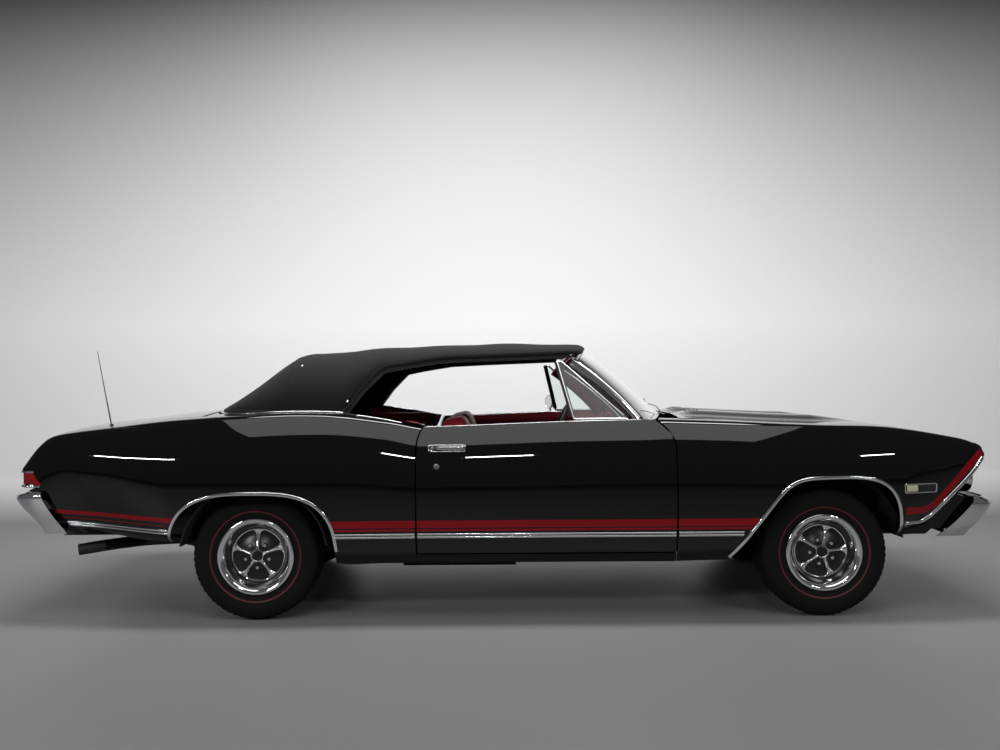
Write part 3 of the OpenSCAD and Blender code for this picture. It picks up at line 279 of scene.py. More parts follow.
def outward(points, faces):
    """Faces turned so that the closed shape's volume, summed over its faces, is positive."""
    p = points.reshape(-1, 3)
    q = p - p.mean(0)
    a, b, c, d = (q[faces[:, k]] for k in range(4))
    volume = np.sum(np.cross(a, b) * c) + np.sum(np.cross(a, c) * d)
    return p, faces if volume > 0 else faces[:, ::-1]


def joined(*shapes):
    """Several closed shapes as one, their points and faces one after another."""
    shapes = [outward(*s) for s in shapes]
    starts = np.cumsum([0] + [len(p) for p, _ in shapes[:-1]])
    points = np.concatenate([p for p, _ in shapes])
    return points, np.concatenate([f + k for (_, f), k in zip(shapes, starts)])


def piece(name, shape, body, mat, slot, sharp=32, closed=True):
    """A mesh from points in millimetres and quads, smooth except across sharp edges."""
    points, faces = outward(*shape) if closed else (shape[0].reshape(-1, 3), shape[1])
    mesh = bpy.data.meshes.new(name)
    mesh.from_pydata((points * 0.001).tolist(), [], faces.tolist())
    mesh.polygons.foreach_set("use_smooth", np.ones(len(mesh.polygons), bool))
    mesh.set_sharp_from_angle(angle=math.radians(sharp))
    mesh.materials.append(mat)
    ob = bpy.data.objects.new(name, mesh)
    bpy.context.scene.collection.objects.link(ob)
    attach(ob, body)
    return ob


def slab(outer, inner):
    """Closed solid between two grids: outer face, inner face and the rim that joins their edges."""
    n, m = outer.shape[:2]
    k = n * m
    face = quads(n, m)
    ring = np.concatenate([np.arange(m), np.arange(1, n) * m + m - 1, (n - 1) * m + np.arange(m - 2, -1, -1),
                           np.arange(n - 2, 0, -1) * m])
    nxt = np.roll(ring, -1)
    rim = np.stack([nxt, ring, ring + k, nxt + k], -1)
    points = np.concatenate([outer.reshape(-1, 3), inner.reshape(-1, 3)])
    return points, np.concatenate([face, face[:, ::-1] + k, rim])


def flip(points, faces):
    """The same shape on the other side of the car."""
    return points * np.array([1, -1, 1]), faces[:, ::-1]


def mirrored(shape):
    """A shape and its mirror on the other side as one."""
    return joined(shape, flip(*shape))


def pair(name, shape, bodies, mat, slot, **kw):
    """A shape on the left and its mirror on the right."""
    return (piece(name + "_left", shape, bodies[0], mat, slot, **kw),
            piece(name + "_right", flip(*shape), bodies[1], mat, slot, **kw))


def inset(grid, t):
    """Grid moved inwards across each section by a thickness, square to the section's line."""
    d = np.gradient(grid, axis=1)
    size = np.hypot(d[..., 1], d[..., 2]) + 1e-9
    t = np.asarray(t, float).reshape(-1, 1)
    out = grid.copy()
    out[..., 1] -= t * d[..., 2] / size
    out[..., 2] += t * d[..., 1] / size
    return out


def rounded(grid, col, reach, times):
    """Softens a fold along one column by averaging the columns near it."""
    w = np.clip(1 - np.abs(np.arange(grid.shape[1]) - col) / reach, 0, 1)[None, 1:-1, None]
    for _ in range(times):
        grid[:, 1:-1] += 0.5 * w * (0.5 * (grid[:, 2:] + grid[:, :-2]) - grid[:, 1:-1])
    return grid


def square_to(line):
    """Unit normals of a line in a plane: its direction turned by a quarter."""
    d = np.gradient(line, axis=0)
    d /= np.linalg.norm(d, axis=1, keepdims=True)
    return np.stack([-d[:, 1], d[:, 0]], -1)


def signed(q, power):
    """Power of a number's size, with the number's sign."""
    return np.sign(q) * np.abs(q) ** power


def cap_quads(n):
    """Quads that close a ring of n points, each from two neighbours to the two across from them."""
    j = np.arange(n // 2 - 1)
    return np.stack([j, j + 1, n - 2 - j, n - 1 - j], -1)


def rod(path, out, width, depth, n=14, power=1.0, loop=False):
    """Tube along a path with a superellipse section: width across, depth along the outward direction."""
    path = np.asarray(path, float)
    if loop:
        t = np.roll(path, -1, 0) - np.roll(path, 1, 0)
    else:
        t = np.gradient(path, axis=0)
    t = t / np.linalg.norm(t, axis=1, keepdims=True)
    o = np.broadcast_to(np.asarray(out, float), path.shape)
    o = o - t * np.sum(o * t, 1, keepdims=True)
    o = o / np.linalg.norm(o, axis=1, keepdims=True)
    c = np.cross(t, o)
    a = np.linspace(0, 2 * math.pi, n, endpoint=False) + math.pi / n
    k = len(path)
    width = np.broadcast_to(np.asarray(width, float), k)[:, None, None]
    depth = np.broadcast_to(np.asarray(depth, float), k)[:, None, None]
    across = signed(np.cos(a), power)[None, :, None] * width / 2
    outwards = signed(np.sin(a), power)[None, :, None] * depth / 2
    grid = path[:, None] + c[:, None] * across + o[:, None] * outwards
    if loop:
        return grid.reshape(-1, 3), quads(k, n, True, True)
    cap = cap_quads(n)
    return grid.reshape(-1, 3), np.concatenate([quads(k, n, wrap_m=True), cap[:, ::-1], cap + (k - 1) * n])


def pod(size, e1=0.5, e2=0.5, n=32, m=20):
    """Superellipsoid about the origin: powers below 1 make it boxy with soft edges."""
    u, v = np.meshgrid(np.linspace(-math.pi, math.pi, n, endpoint=False),
                       np.linspace(-math.pi / 2, math.pi / 2, m)[1:-1], indexing="ij")
    girth = signed(np.cos(v), e1)
    g = stack(size[0] * girth * signed(np.cos(u), e2), size[1] * girth * signed(np.sin(u), e2),
              size[2] * signed(np.sin(v), e1)) / 2
    k = m - 2
    cap = cap_quads(n) * k
    return g.reshape(-1, 3), np.concatenate([quads(n, k, wrap_n=True), cap[:, ::-1], cap + k - 1])


def turned(profile, centre, n=72, axis=(0, 1, 0), wave=None):
    """Closed ring: a profile of (radius, offset along the axis) turned about an axis through a centre."""
    profile = np.asarray(profile, float)
    axis = np.asarray(axis, float) / np.linalg.norm(axis)
    u = np.cross(axis, [0, 0, 1.0]) if abs(axis[2]) < 0.9 else np.cross(axis, [1.0, 0, 0])
    u /= np.linalg.norm(u)
    v = np.cross(axis, u)
    a = np.linspace(0, 2 * math.pi, n, endpoint=False)[:, None]
    r, h = profile[:, 0] + 0 * a, profile[:, 1] + 0 * a
    if wave is not None:
        r = r - wave(a, h, r)
    g = (r * np.cos(a))[..., None] * u + (r * np.sin(a))[..., None] * v + h[..., None] * axis
    return (g + np.asarray(centre, float)).reshape(-1, 3), quads(n, len(profile), True, True)


def moved(shape, place, turn=np.eye(3)):
    """A shape turned by a matrix and put at a place."""
    return shape[0].reshape(-1, 3) @ turn.T + np.asarray(place, float), shape[1]


def tilt(deg):
    """Turn about Y that leans the top of a shape back for positive angles."""
    a = math.radians(deg)
    return np.array([[math.cos(a), 0, -math.sin(a)], [0, 1, 0], [math.sin(a), 0, math.cos(a)]])


# Finishes
def finish(name, base, rough, metal=0.0, **sockets):
    """A material whose number and colour sockets are set on the shader itself."""
    mat = bpy.data.materials.new(name)
    mat.use_nodes = True
    b = mat.node_tree.nodes["Principled BSDF"]
    b.inputs["Base Color"].default_value = (*base, 1)
    b.inputs["Roughness"].default_value = rough
    b.inputs["Metallic"].default_value = metal
    for key, value in sockets.items():
        b.inputs[key.replace("_", " ")].default_value = value
    return mat


def node(mat, kind, **values):
    """A new node in a material; each value sets a socket of that name or, without one, a setting."""
    n = mat.node_tree.nodes.new(kind)
    for key, value in values.items():
        if key in n.inputs:
            n.inputs[key].default_value = value
        else:
            setattr(n, key, value)
    return n


def link(mat, a, b):
    """Joins an output socket to an input socket."""
    mat.node_tree.links.new(a, b)


GRAIN_SOCKETS = {"INPUT": ("Colour", "Roughness", "Scale", "Tone", "Spread"),
                 "OUTPUT": ("Colour", "Roughness", "Height")}


def grain_group():
    """Shader group: noise on object coordinates at two scales gives a tone, a roughness and a height."""
    g = bpy.data.node_groups.new("surface_grain", "ShaderNodeTree")
    for way, names in GRAIN_SOCKETS.items():
        for name in names:
            kind = "NodeSocketColor" if name == "Colour" else "NodeSocketFloat"
            g.interface.new_socket(name, in_out=way, socket_type=kind)
    new, wire = g.nodes.new, g.links.new
    i, o = new("NodeGroupInput"), new("NodeGroupOutput")
    at = new("ShaderNodeTexCoord")
    fine, broad = new("ShaderNodeTexNoise"), new("ShaderNodeTexNoise")
    fine.inputs["Detail"].default_value = 6
    broad.inputs["Scale"].default_value = 3
    wire(at.outputs["Object"], fine.inputs["Vector"])
    wire(at.outputs["Object"], broad.inputs["Vector"])
    wire(i.outputs["Scale"], fine.inputs["Scale"])
    tone = new("ShaderNodeMapRange")
    wire(broad.outputs["Fac"], tone.inputs["Value"])
    half = new("ShaderNodeMath")
    half.operation = "SUBTRACT"
    half.inputs[0].default_value = 1
    wire(i.outputs["Tone"], half.inputs[1])
    wire(half.outputs[0], tone.inputs["To Min"])
    tone.inputs["To Max"].default_value = 1
    scaled = new("ShaderNodeVectorMath")
    scaled.operation = "SCALE"
    wire(i.outputs["Colour"], scaled.inputs[0])
    wire(tone.outputs[0], scaled.inputs["Scale"])
    spread = new("ShaderNodeMath")
    spread.operation = "MULTIPLY_ADD"
    wire(fine.outputs["Fac"], spread.inputs[0])
    wire(i.outputs["Spread"], spread.inputs[1])
    wire(i.outputs["Roughness"], spread.inputs[2])
    wire(scaled.outputs[0], o.inputs["Colour"])
    wire(spread.outputs[0], o.inputs["Roughness"])
    wire(fine.outputs["Fac"], o.inputs["Height"])
    return g


GRAIN = grain_group()


def grained(mat, scale, tone=0.15, spread=0.1, bump=0.0, depth=0.001):
    """Places the grain group in a material, with its own colour and roughness."""
    b = mat.node_tree.nodes["Principled BSDF"]
    g = node(mat, "ShaderNodeGroup", node_tree=GRAIN)
    g.inputs["Colour"].default_value = b.inputs["Base Color"].default_value
    g.inputs["Roughness"].default_value = b.inputs["Roughness"].default_value
    g.inputs["Scale"].default_value = scale
    g.inputs["Tone"].default_value = tone
    g.inputs["Spread"].default_value = spread
    link(mat, g.outputs["Colour"], b.inputs["Base Color"])
    link(mat, g.outputs["Roughness"], b.inputs["Roughness"])
    if bump:
        h = node(mat, "ShaderNodeBump", Strength=bump, Distance=depth)
        link(mat, g.outputs["Height"], h.inputs["Height"])
        link(mat, h.outputs["Normal"], b.inputs["Normal"])
    return mat


# Each finish of the car: colour, roughness and sockets, then the grain's scale, tone, spread and bump
PAINT = grained(finish("black_gloss_paint", (0.002, 0.002, 0.0023), 0.3, Coat_Weight=1.0,
                       Coat_Roughness=0.02, Specular_IOR_Level=0.0), 900, 0.1, 0.03)
RED_PAINT = grained(finish("red_stripe_paint", (0.26, 0.004, 0.008), 0.35, Coat_Weight=0.3,
                           Specular_IOR_Level=0.1), 700, 0.1, 0.05)
CHROME = grained(finish("bright_chrome", (0.82, 0.82, 0.83), 0.05, 1.0), 40, 0.06, 0.04)
STEEL = grained(finish("satin_trim_steel", (0.62, 0.62, 0.63), 0.2, 1.0), 300, 0.1, 0.08)
CHASSIS = grained(finish("chassis_black", (0.018, 0.018, 0.018), 0.45), 60, 0.4, 0.25, 0.2, 0.002)
UNDERCOAT = grained(finish("underbody_coat", (0.012, 0.012, 0.012), 0.75), 180, 0.4, 0.2, 0.5, 0.003)
RUBBER = grained(finish("tyre_rubber", (0.006, 0.006, 0.006), 0.75, Specular_IOR_Level=0.2), 220, 0.3, 0.15,
                 0.25, 0.001)
# the tyres' red line is darkened well below its real red: painted shade
SHADED_RED_LINE = grained(finish("tyre_red_line", (0.1, 0.004, 0.008), 0.55), 300, 0.2, 0.1)
DISH = grained(finish("wheel_dish_black", (0.008, 0.008, 0.008), 0.25), 150, 0.2, 0.1)
VINYL = grained(finish("red_vinyl_hide", (0.2, 0.007, 0.016), 0.42, Specular_IOR_Level=0.35), 700, 0.2, 0.12,
                0.25, 0.0006)
PIPING = grained(finish("pale_piping", (0.55, 0.35, 0.34), 0.45), 500, 0.2, 0.1)
CARPET = grained(finish("red_carpet", (0.12, 0.006, 0.01), 0.95), 900, 0.5, 0.05, 0.8, 0.003)
BLACK_TRIM = grained(finish("black_trim", (0.012, 0.012, 0.012), 0.4), 500, 0.2, 0.15, 0.15, 0.0005)
RED_LENS = grained(finish("red_lens", (0.35, 0.004, 0.006), 0.12, Coat_Weight=0.5), 200, 0.2, 0.05)
CREAM_LENS = grained(finish("cream_lens", (0.72, 0.66, 0.5), 0.2, Coat_Weight=0.5), 200, 0.15, 0.05)
CLEAR_LENS = grained(finish("clear_lens", (0.75, 0.77, 0.78), 0.12, Coat_Weight=0.8), 200, 0.15, 0.05)
IRON = grained(finish("engine_iron", (0.06, 0.06, 0.06), 0.55), 90, 0.4, 0.2, 0.3, 0.002)
GLASS = finish("window_glass", (0.92, 0.96, 0.95), 0.02, Transmission_Weight=1.0, IOR=1.4)


def cloth_finish():
    """Top cloth: a fine two-way weave of waves on object coordinates over the grain."""
    mat = grained(finish("black_top_cloth", (0.01, 0.01, 0.0105), 0.8, Sheen_Weight=0.06,
                         Specular_IOR_Level=0.3), 420, 0.25, 0.1)
    b = mat.node_tree.nodes["Principled BSDF"]
    at = node(mat, "ShaderNodeTexCoord")
    heights = []
    for way in ("X", "Y"):
        w = node(mat, "ShaderNodeTexWave", bands_direction=way, Scale=260.0, Distortion=1.5, Detail=2.0)
        link(mat, at.outputs["Object"], w.inputs["Vector"])
        heights.append(w.outputs["Fac"])
    both = node(mat, "ShaderNodeMath", operation="MULTIPLY")
    link(mat, heights[0], both.inputs[0])
    link(mat, heights[1], both.inputs[1])
    bump = node(mat, "ShaderNodeBump", Strength=0.35, Distance=0.0012)
    link(mat, both.outputs[0], bump.inputs["Height"])
    link(mat, bump.outputs["Normal"], b.inputs["Normal"])
    return mat


CLOTH = cloth_finish()
BOTH = ("body", "body")
DOORS = ("door_left", "door_right")
SIDES = ("left", "right")


def bright(name, shape, body="body", sharp=50):
    """A chromed piece."""
    return piece(name, shape, body, CHROME, "bright_metal", sharp=sharp)


def bright_pair(name, shape, bodies=BOTH, sharp=50):
    """A chromed piece on the left and its mirror on the right."""
    return pair(name, shape, bodies, CHROME, "bright_metal", sharp=sharp)


def padding(name, shape):
    """A piece inside the car covered in red vinyl."""
    return piece(name, shape, "body", VINYL, "red_vinyl", sharp=60)


# Painted panels: spread of a side's rows, depth of the door's shut face, inner faces of the sill and the door
ROW_POWER, SHUT_DEEP, SILL_INNER = 1.35, 76.0, 785.0
DOOR_LOW_Y, DOOR_TOP_DEEP = HALF_W - 161, 95.0


def side_grid(x, n_up=42, n_over=12):
    """Body side from its lower edge to the top edge, then over the top to the shut line."""
    x = x[:, None]
    t = np.linspace(0, 1, n_up)[None]
    z = mix(edge_z(x), top(x), 1 - (1 - t) ** ROW_POWER)
    up = stack(x + lean_x(x, z), side_y(x, z), z)
    over = sheet(x, mix(1.0, share(x), np.linspace(0, 1, n_over)[None]))
    return rounded(np.concatenate([up, over[:, 1:]], 1), n_up - 1, 6, 10)


def fender():
    """Front side panel: sections from the door to the nose, with the arch in its lower edge."""
    x = np.concatenate([
        np.linspace(DOOR_F + GAP, AXLE_F - ARCH_FR - 1, 16)[:-1], arch_places(AXLE_F, ARCH_FR, 1.7, -1, 40),
        arch_places(AXLE_F, ARCH_FF, POWER_F, 1, 40)[-2::-1], np.linspace(AXLE_F + ARCH_FF + 1, TIP, 44)])
    g = side_grid(x)
    fade = (1 - ramp(x, DOOR_F + GAP, DOOR_F + GAP + 300))[:, None]
    g[..., 0] += (GAP - SWEEP_F) * fade * door_cut(g[..., 2])
    return slab(g, inset(g, SKIN))


def quarter():
    """Rear side panel: sections from the tail to the door, thick at the door's shut face."""
    x = np.concatenate([
        np.linspace(TAIL, AXLE_R - ARCH_R - 1, 56), arch_places(AXLE_R, ARCH_R, POWER_R, -1, 36),
        arch_places(AXLE_R, ARCH_R, POWER_R, 1, 36)[-2::-1],
        np.linspace(AXLE_R + ARCH_R + 1, DOOR_R - GAP, 30)])
    g = side_grid(x)
    inner = inset(g, mix(SHUT_DEEP, SKIN, ramp(-x, -(DOOR_R - 130), -(DOOR_R - 300))))
    fade = ramp(x, DOOR_R - GAP - 250, DOOR_R - GAP)[:, None]
    for side in (g, inner):
        side[..., 0] += SWEEP_R * fade * door_cut(side[..., 2])
    return slab(g, inner)


def door_inner(z):
    """Half width of the door's inner face at a height."""
    return mix(DOOR_LOW_Y, top_y((DOOR_R + DOOR_F) / 2) - DOOR_TOP_DEEP, ramp(z, DOOR_Z, BELT))


def door():
    """Door: the body side between its shut lines and a straight inner face."""
    s = np.linspace(0, 1, 60)[:, None]
    x0 = mix(DOOR_R, DOOR_F, s)
    t = np.linspace(0, 1, 46)[None]
    z = mix(DOOR_Z, top(x0), 1 - (1 - t) ** ROW_POWER)
    x = mix(DOOR_R + SWEEP_R * door_cut(z), DOOR_F - SWEEP_F * door_cut(z), s)
    return slab(stack(x, side_y(x, z), z), stack(x + 18 * (1 - s), door_inner(z), z))


def rocker():
    """Sill under the door: the body side from the lower edge to the door's shut line."""
    x = np.linspace(DOOR_R - 6, DOOR_F + 6, 60)[:, None]
    z = mix(low(x), DOOR_Z - GAP, np.linspace(0, 1, 14)[None])
    return slab(stack(x, side_y(x, z), z), stack(x, SILL_INNER, z))


def cover(x, less, thick, n=90):
    """Panel on the upper surface between two places, out to the shut lines on both sides."""
    f = share(x, less)[:, None] * np.linspace(1, -1, n)[None]
    g = sheet(x[:, None], f)
    return slab(g, g - np.array([0, 0, thick]))


SIDE_PANELS = (("fender", fender(), BOTH), ("quarter", quarter(), BOTH), ("door", door(), DOORS))
for part, shape, bodies in SIDE_PANELS:
    for ob, side in zip(pair(part + "_panel", shape, bodies, PAINT, "black_paint"), SIDES):
        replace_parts(ob, f"{part}_{side}")
for name, part, places, less, thick in (
        ("hood_panel", "hood", np.linspace(HOOD_R, HOOD_F, 100), GAP, 12),
        ("lid_panel", "trunk_lid", np.linspace(LID_R, LID_F, 60), GAP, 12),
        ("nose_lip", "nose_panel", np.linspace(HOOD_F + GAP, TIP, 30), 1, 8),
        ("deck_strip", "deck_panel", np.linspace(LID_F + 24, LID_F + 150, 16), 0.6, 5)):
    body = part if part in ("hood", "trunk_lid") else "body"
    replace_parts(piece(name, cover(places, less, thick), body, PAINT, "black_paint"), part)
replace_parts(piece("rocker_sills", mirrored(rocker()), "body", PAINT, "black_paint"), "rockers")


# Bumpers: plans of (setback from the end, half width), profiles of (setback, height), the cut of the ends
def bumper(plan, profile, slant, tuck, thick=6.0):
    """Chrome bar: a profile of setbacks and heights carried along a plan line, its ends cut on a slant.

    The setbacks grow by the tuck towards the corners."""
    n = 60
    half = curve(plan, n)
    line = np.concatenate([half[:0:-1] * np.array([1, -1]), half])
    out = square_to(line)
    out = out * np.sign(np.sum(out[:, 0]) * plan[0][0])
    p = curve(profile, 28)
    (x0, z0), (x1, z1) = slant
    ends = mix(x0, x1, (p[:, 1] - z0) / (z1 - z0))
    k = np.arange(len(line)) - (len(line) - 1) / 2
    reach = np.interp(np.abs(ends), np.abs(half[::-1, 0]), np.arange(n - 1, -1, -1))
    at = k[:, None] / k[-1] * np.minimum(reach, k[-1])[None]
    grids = []
    for t in (0.0, thick):
        back = p[None, :, 0]
        gy = np.interp(at, k, line[:, 1])
        deep = back * (1 + tuck * ramp(np.abs(gy), 600, 840))
        gx = np.interp(at, k, line[:, 0]) - np.interp(at, k, out[:, 0]) * (deep + t)
        gy = gy - np.interp(at, k, out[:, 1]) * (0.35 * back + t)
        grids.append(stack(gx, gy, p[None, :, 1]))
    return slab(*grids)


REAR_SETBACK = ((0, 0), (4, 300), (10, 580), (20, 740), (38, 800), (82, 842), (150, 862), (322, 876))
FRONT_SETBACK = ((0, 0), (5, 300), (12, 580), (25, 740), (50, 800), (100, 846), (180, 868), (336, 884))
REAR_PLAN = [[BACK_X + b, y] for b, y in REAR_SETBACK]
FRONT_PLAN = [[FRONT_X - b, y] for b, y in FRONT_SETBACK]
REAR_PROFILE = [[150, 437], [98, 485], [40, 540], [9, 592], [2, 630], [36, 652]]
REAR_SLANT = ((BACK_X + 290, 430), (BACK_X + 183, 650))
FRONT_SLANT = ((FRONT_X - 308, 400), (FRONT_X - 156, 583))
FRONT_PROFILE = [[190, 394], [135, 424], [70, 462], [29, 505], [3, 545], [3, 571], [40, 592]]
for name, shape in (("rear_bumper", bumper(REAR_PLAN, REAR_PROFILE, REAR_SLANT, 0.95)),
                    ("front_bumper", bumper(FRONT_PLAN, FRONT_PROFILE, FRONT_SLANT, 0.0))):
    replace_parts(bright(name + "_bar", shape, sharp=40), name)


# Wheels: profiles of (radius, offset outwards from the hub's middle)
TYRE = [(184, 72), (190, 84), (202, 90.5), (225, 98), (250, 102), (262, 102.3), (280, 100.5), (292, 96.5),
        (303, 89), (312, 80), (317, 68), (319, 58)]
TREAD_R, TREAD_CROWN, GROOVE_DEEP, RIM_SEAT = 320.0, 0.0004, 7, [(180, -60), (180, 60)]
GROOVES = (50, 49, 42, 41, 20, 19, 12, 11, -11, -12, -19, -20, -41, -42, -49, -50)
BLOCKS, NOTCH_SHARE, NOTCH_DEEP, NOTCH_SPAN, NOTCH_R = 60, 0.72, 5.0, (49.5, 84), 306
RED_RING = [(222, 96.2), (226, 97.6), (230, 98.8)]
TRIM_RING = [(190, 88), (191.5, 92), (189, 96), (184, 97.5), (176, 96), (168, 90), (160, 78), (152, 62),
             (146, 50), (143, 44)]
BEAD = [(127, 33), (129, 37), (133, 38.5), (136, 37), (137, 33)]
BOWL = [(143, 46), (138, 40), (134, 36), (126, 30), (110, 30), (95, 34), (75, 42), (58, 50), (45, 54),
        (33, 55)]
BOWL_BACK = [(32.9, 20), (60, 12), (110, 4), (136, -6), (146, -30), (150, -84), (176, -88), (183, -84),
             (176, -70), (160, -60), (158, 30), (165, 60), (176, 88), (160, 74), (150, 54)]
BEZEL = [(26, 56), (33, 56), (33.5, 62), (32, 65), (29.5, 65.5), (28, 63), (26, 62)]
CAP = [(0.5, 40), (29, 40), (29, 61), (24, 63.5), (12, 64.5), (0.5, 65)]
NUT = [(0.5, 0), (11, 0), (11, 14), (8, 18), (0.5, 18.5)]
NUT_R, NUT_OUT = 62, 42

# Ridges of the wheel's face: radius, offset outwards and width
SPOKE = np.array([(33, 57, 19), (50, 53, 15), (75, 45, 15), (100, 39, 19), (118, 37, 32), (130, 39, 66.0)])
SPOKE_RIDGE, SPOKE_LIFT, SPOKE_ROOT = 7, 3, 6
SPOKES = 5
STEP = 360 / SPOKES


def tyre_profile():
    """Sidewall curve, tread with four grooves, the same sidewall inside and a return past the rim."""
    side = curve(TYRE, 40)
    marks = np.array(GROOVES, float)
    deep = np.tile([0, GROOVE_DEEP, GROOVE_DEEP, 0], 4)
    tread = np.column_stack([TREAD_R - TREAD_CROWN * marks**2 - deep, marks])
    inner = side[::-1] * np.array([1, -1])
    return np.concatenate([side, tread, inner, RIM_SEAT])


def notches(a, h, r):
    """Shoulder blocks: short cuts round the edge of the tread wherever a cosine of the angle is high."""
    blocks = np.cos(a * BLOCKS) > NOTCH_SHARE
    shoulder = (np.abs(h) > NOTCH_SPAN[0]) & (np.abs(h) < NOTCH_SPAN[1]) & (r > NOTCH_R)
    return NOTCH_DEEP * blocks * shoulder


def sheath(profile, thick):
    """Closed profile of a thin turned shell: a line and the same line moved square to itself."""
    p = np.asarray(profile, float)
    return np.concatenate([p, (p - square_to(p) * thick)[::-1]])


def spoke(turn, hub, side):
    """Raised ridge on the wheel's face: narrow at the hub and flaring into the rim."""
    line = curve(SPOKE[:, :2], 24)
    width = smooth(SPOKE, line[:, 0], 2)
    across = np.linspace(-0.5, 0.5, 9)
    w = width[:, None] * across[None]
    reach = np.sqrt(np.clip(line[:, :1] ** 2 - w**2, 0, None))
    a = math.radians(turn)
    x = hub[0] + reach * math.sin(a) + w * math.cos(a)
    z = hub[2] + reach * math.cos(a) - w * math.sin(a)
    face = line[:, 1:] - 1
    crown = SPOKE_LIFT + SPOKE_RIDGE * (1 - (2 * across) ** 2)
    return slab(*(stack(x, hub[1] + side * (face + lift), z) for lift in (crown, -SPOKE_ROOT)))


def nut(turn, hub, side):
    """Wheel nut beside the hub, at a turn from the top."""
    a = math.radians(turn)
    place = hub + np.array([NUT_R * math.sin(a), side * NUT_OUT, NUT_R * math.cos(a)])
    return turned(NUT, place, 6, (0, side, 0))


def wheel(body, hub, side, turn):
    """One wheel: tyre, red line, bright trim ring, dark dish, five ridges, cap and nuts."""
    axis = (0, side, 0)
    tyre = turned(tyre_profile(), hub, 240, axis, notches)
    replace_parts(piece(body + "_tread", tyre, body, RUBBER, "tyre", sharp=40), body.replace("wheel", "tyre"))
    line = curve(RED_RING, 8)
    ring = turned(np.concatenate([line + [0, 1.2], line[::-1] - [0, 3]]), hub, 160, axis)
    piece(body + "_red_line", ring, body, SHADED_RED_LINE, "tyre")
    rings = [turned(sheath(curve(TRIM_RING, 28), 2.0), hub, 120, axis), turned(BEAD, hub, 120, axis),
             turned(BEZEL, hub, 72, axis)]
    spokes = [spoke(turn + STEP * k, hub, side) for k in range(SPOKES)]
    nuts = [nut(turn + STEP * (k + 0.5), hub, side) for k in range(SPOKES)]
    bright(body + "_trim", joined(*rings, *spokes, *nuts), body, sharp=40)
    dish = joined(turned(BOWL + BOWL_BACK, hub, 120, axis), turned(CAP, hub, 60, axis))
    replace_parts(piece(body + "_dish", dish, body, DISH, "wheel_steel", sharp=35), body)


for end, x, turn in (("front", AXLE_F, 14), ("rear", AXLE_R, 0)):
    for side, s in zip(SIDES, (1, -1)):
        wheel(f"wheel_{end}_{side}", np.array([x, s * HUB_Y, HUB_Z]), s, turn)


# Bright mouldings and painted stripes along the sides
def arch_half(b, h, n, k):
    """Half of an arch's edge as distances from the axle and heights, from its foot to its top."""
    a = np.linspace(0.03, 1, k) * math.pi / 2
    return np.stack([b * np.cos(a) ** (2 / n), ARCH_BASE + h * np.sin(a) ** (2 / n)], -1)


def arch_moulding(front, out=8.0):
    """Bright lip round a wheel opening, from foot to foot over the top, just outside its edge."""
    if front:
        d = np.linspace(ARCH_FR - 4, 0, 70)
        back, fore = np.stack([d, flank(d)], -1), arch_half(ARCH_FF, ARCH_HF, POWER_F, 60)
    else:
        back = fore = arch_half(ARCH_R, ARCH_HR, POWER_R, 60)
    line = np.concatenate([back * np.array([-1, 1]), fore[-2::-1]])
    line[:, 0] += AXLE_F if front else AXLE_R
    line = curve(line[::3], 110)
    line = line + out * square_to(line)
    line = line[line[:, 1] > low(line[:, 0]) + 4]
    return rod(on_side(line[:, 0], line[:, 1], 0.5), (0, 1, 0), 17, 9, 12, 0.75)


def strip(x, z, high, proud):
    """Moulding on the side along a line of places and heights."""
    return rod(on_side(x, z, 0.0), (0, 1, 0), high, proud * 2, 12, 0.6)


FILM, FILM_SUNK = 0.9, 0.6


def film(x, z):
    """Coat of stripe paint on a grid of places and heights on the side, a little proud of it."""
    return slab(on_side(x, z, FILM), on_side(x, z, -FILM_SUNK))


def ribbon(line, high):
    """Painted band on the side: a line of places and heights, spread square to itself by a width."""
    t = np.linspace(-0.5, 0.5, 7)[None]
    out = square_to(line)
    return film(line[:, :1] + out[:, :1] * t * high, line[:, 1:] + out[:, 1:] * t * high)


# Stretch behind the middle over which the bands grow thinner, and by how much below and above
TAPER_X, TAPER_LOW, TAPER_TOP = (1500, 1700), 10, 5


def band(x0, x1, lift0, lift1):
    """Painted band between two ends, each a function of height, and two heights over the crease."""
    s, t = np.linspace(0, 1, 60)[:, None], np.linspace(0, 1, 7)[None]
    z = 500 + 0 * s * t
    for _ in range(4):
        x = mix(x0(z), x1(z), s)
        back = ramp(-x, *TAPER_X)
        z = crease(x) + mix(lift0 + TAPER_LOW * back, lift1 - TAPER_TOP * back, t)
    return film(x, z)


# How far a band stays inside the tail's edge and outside the arches' edges
END_IN, FLANK_CLEAR, ARCH_CLEAR = 4, 20, 17


def tail_edge(z):
    """Place of the quarter's raked rear edge at a height."""
    return TAIL + (top(TAIL) - z) * TAIL_RAKE + END_IN


def flank_edge(z):
    """Place beside the front arch's flank at a height."""
    return AXLE_F - flank_reach(z) - FLANK_CLEAR


def rear_arch_edge(way):
    """Place beside the rear arch as a function of height, ahead of the axle for 1 and behind it for -1."""
    return lambda z: AXLE_R + way * (arch_reach(z, ARCH_R, ARCH_HR, POWER_R) + ARCH_CLEAR)


def upright(x):
    """The same place at every height, as a function of height."""
    return lambda z: x + 0 * z


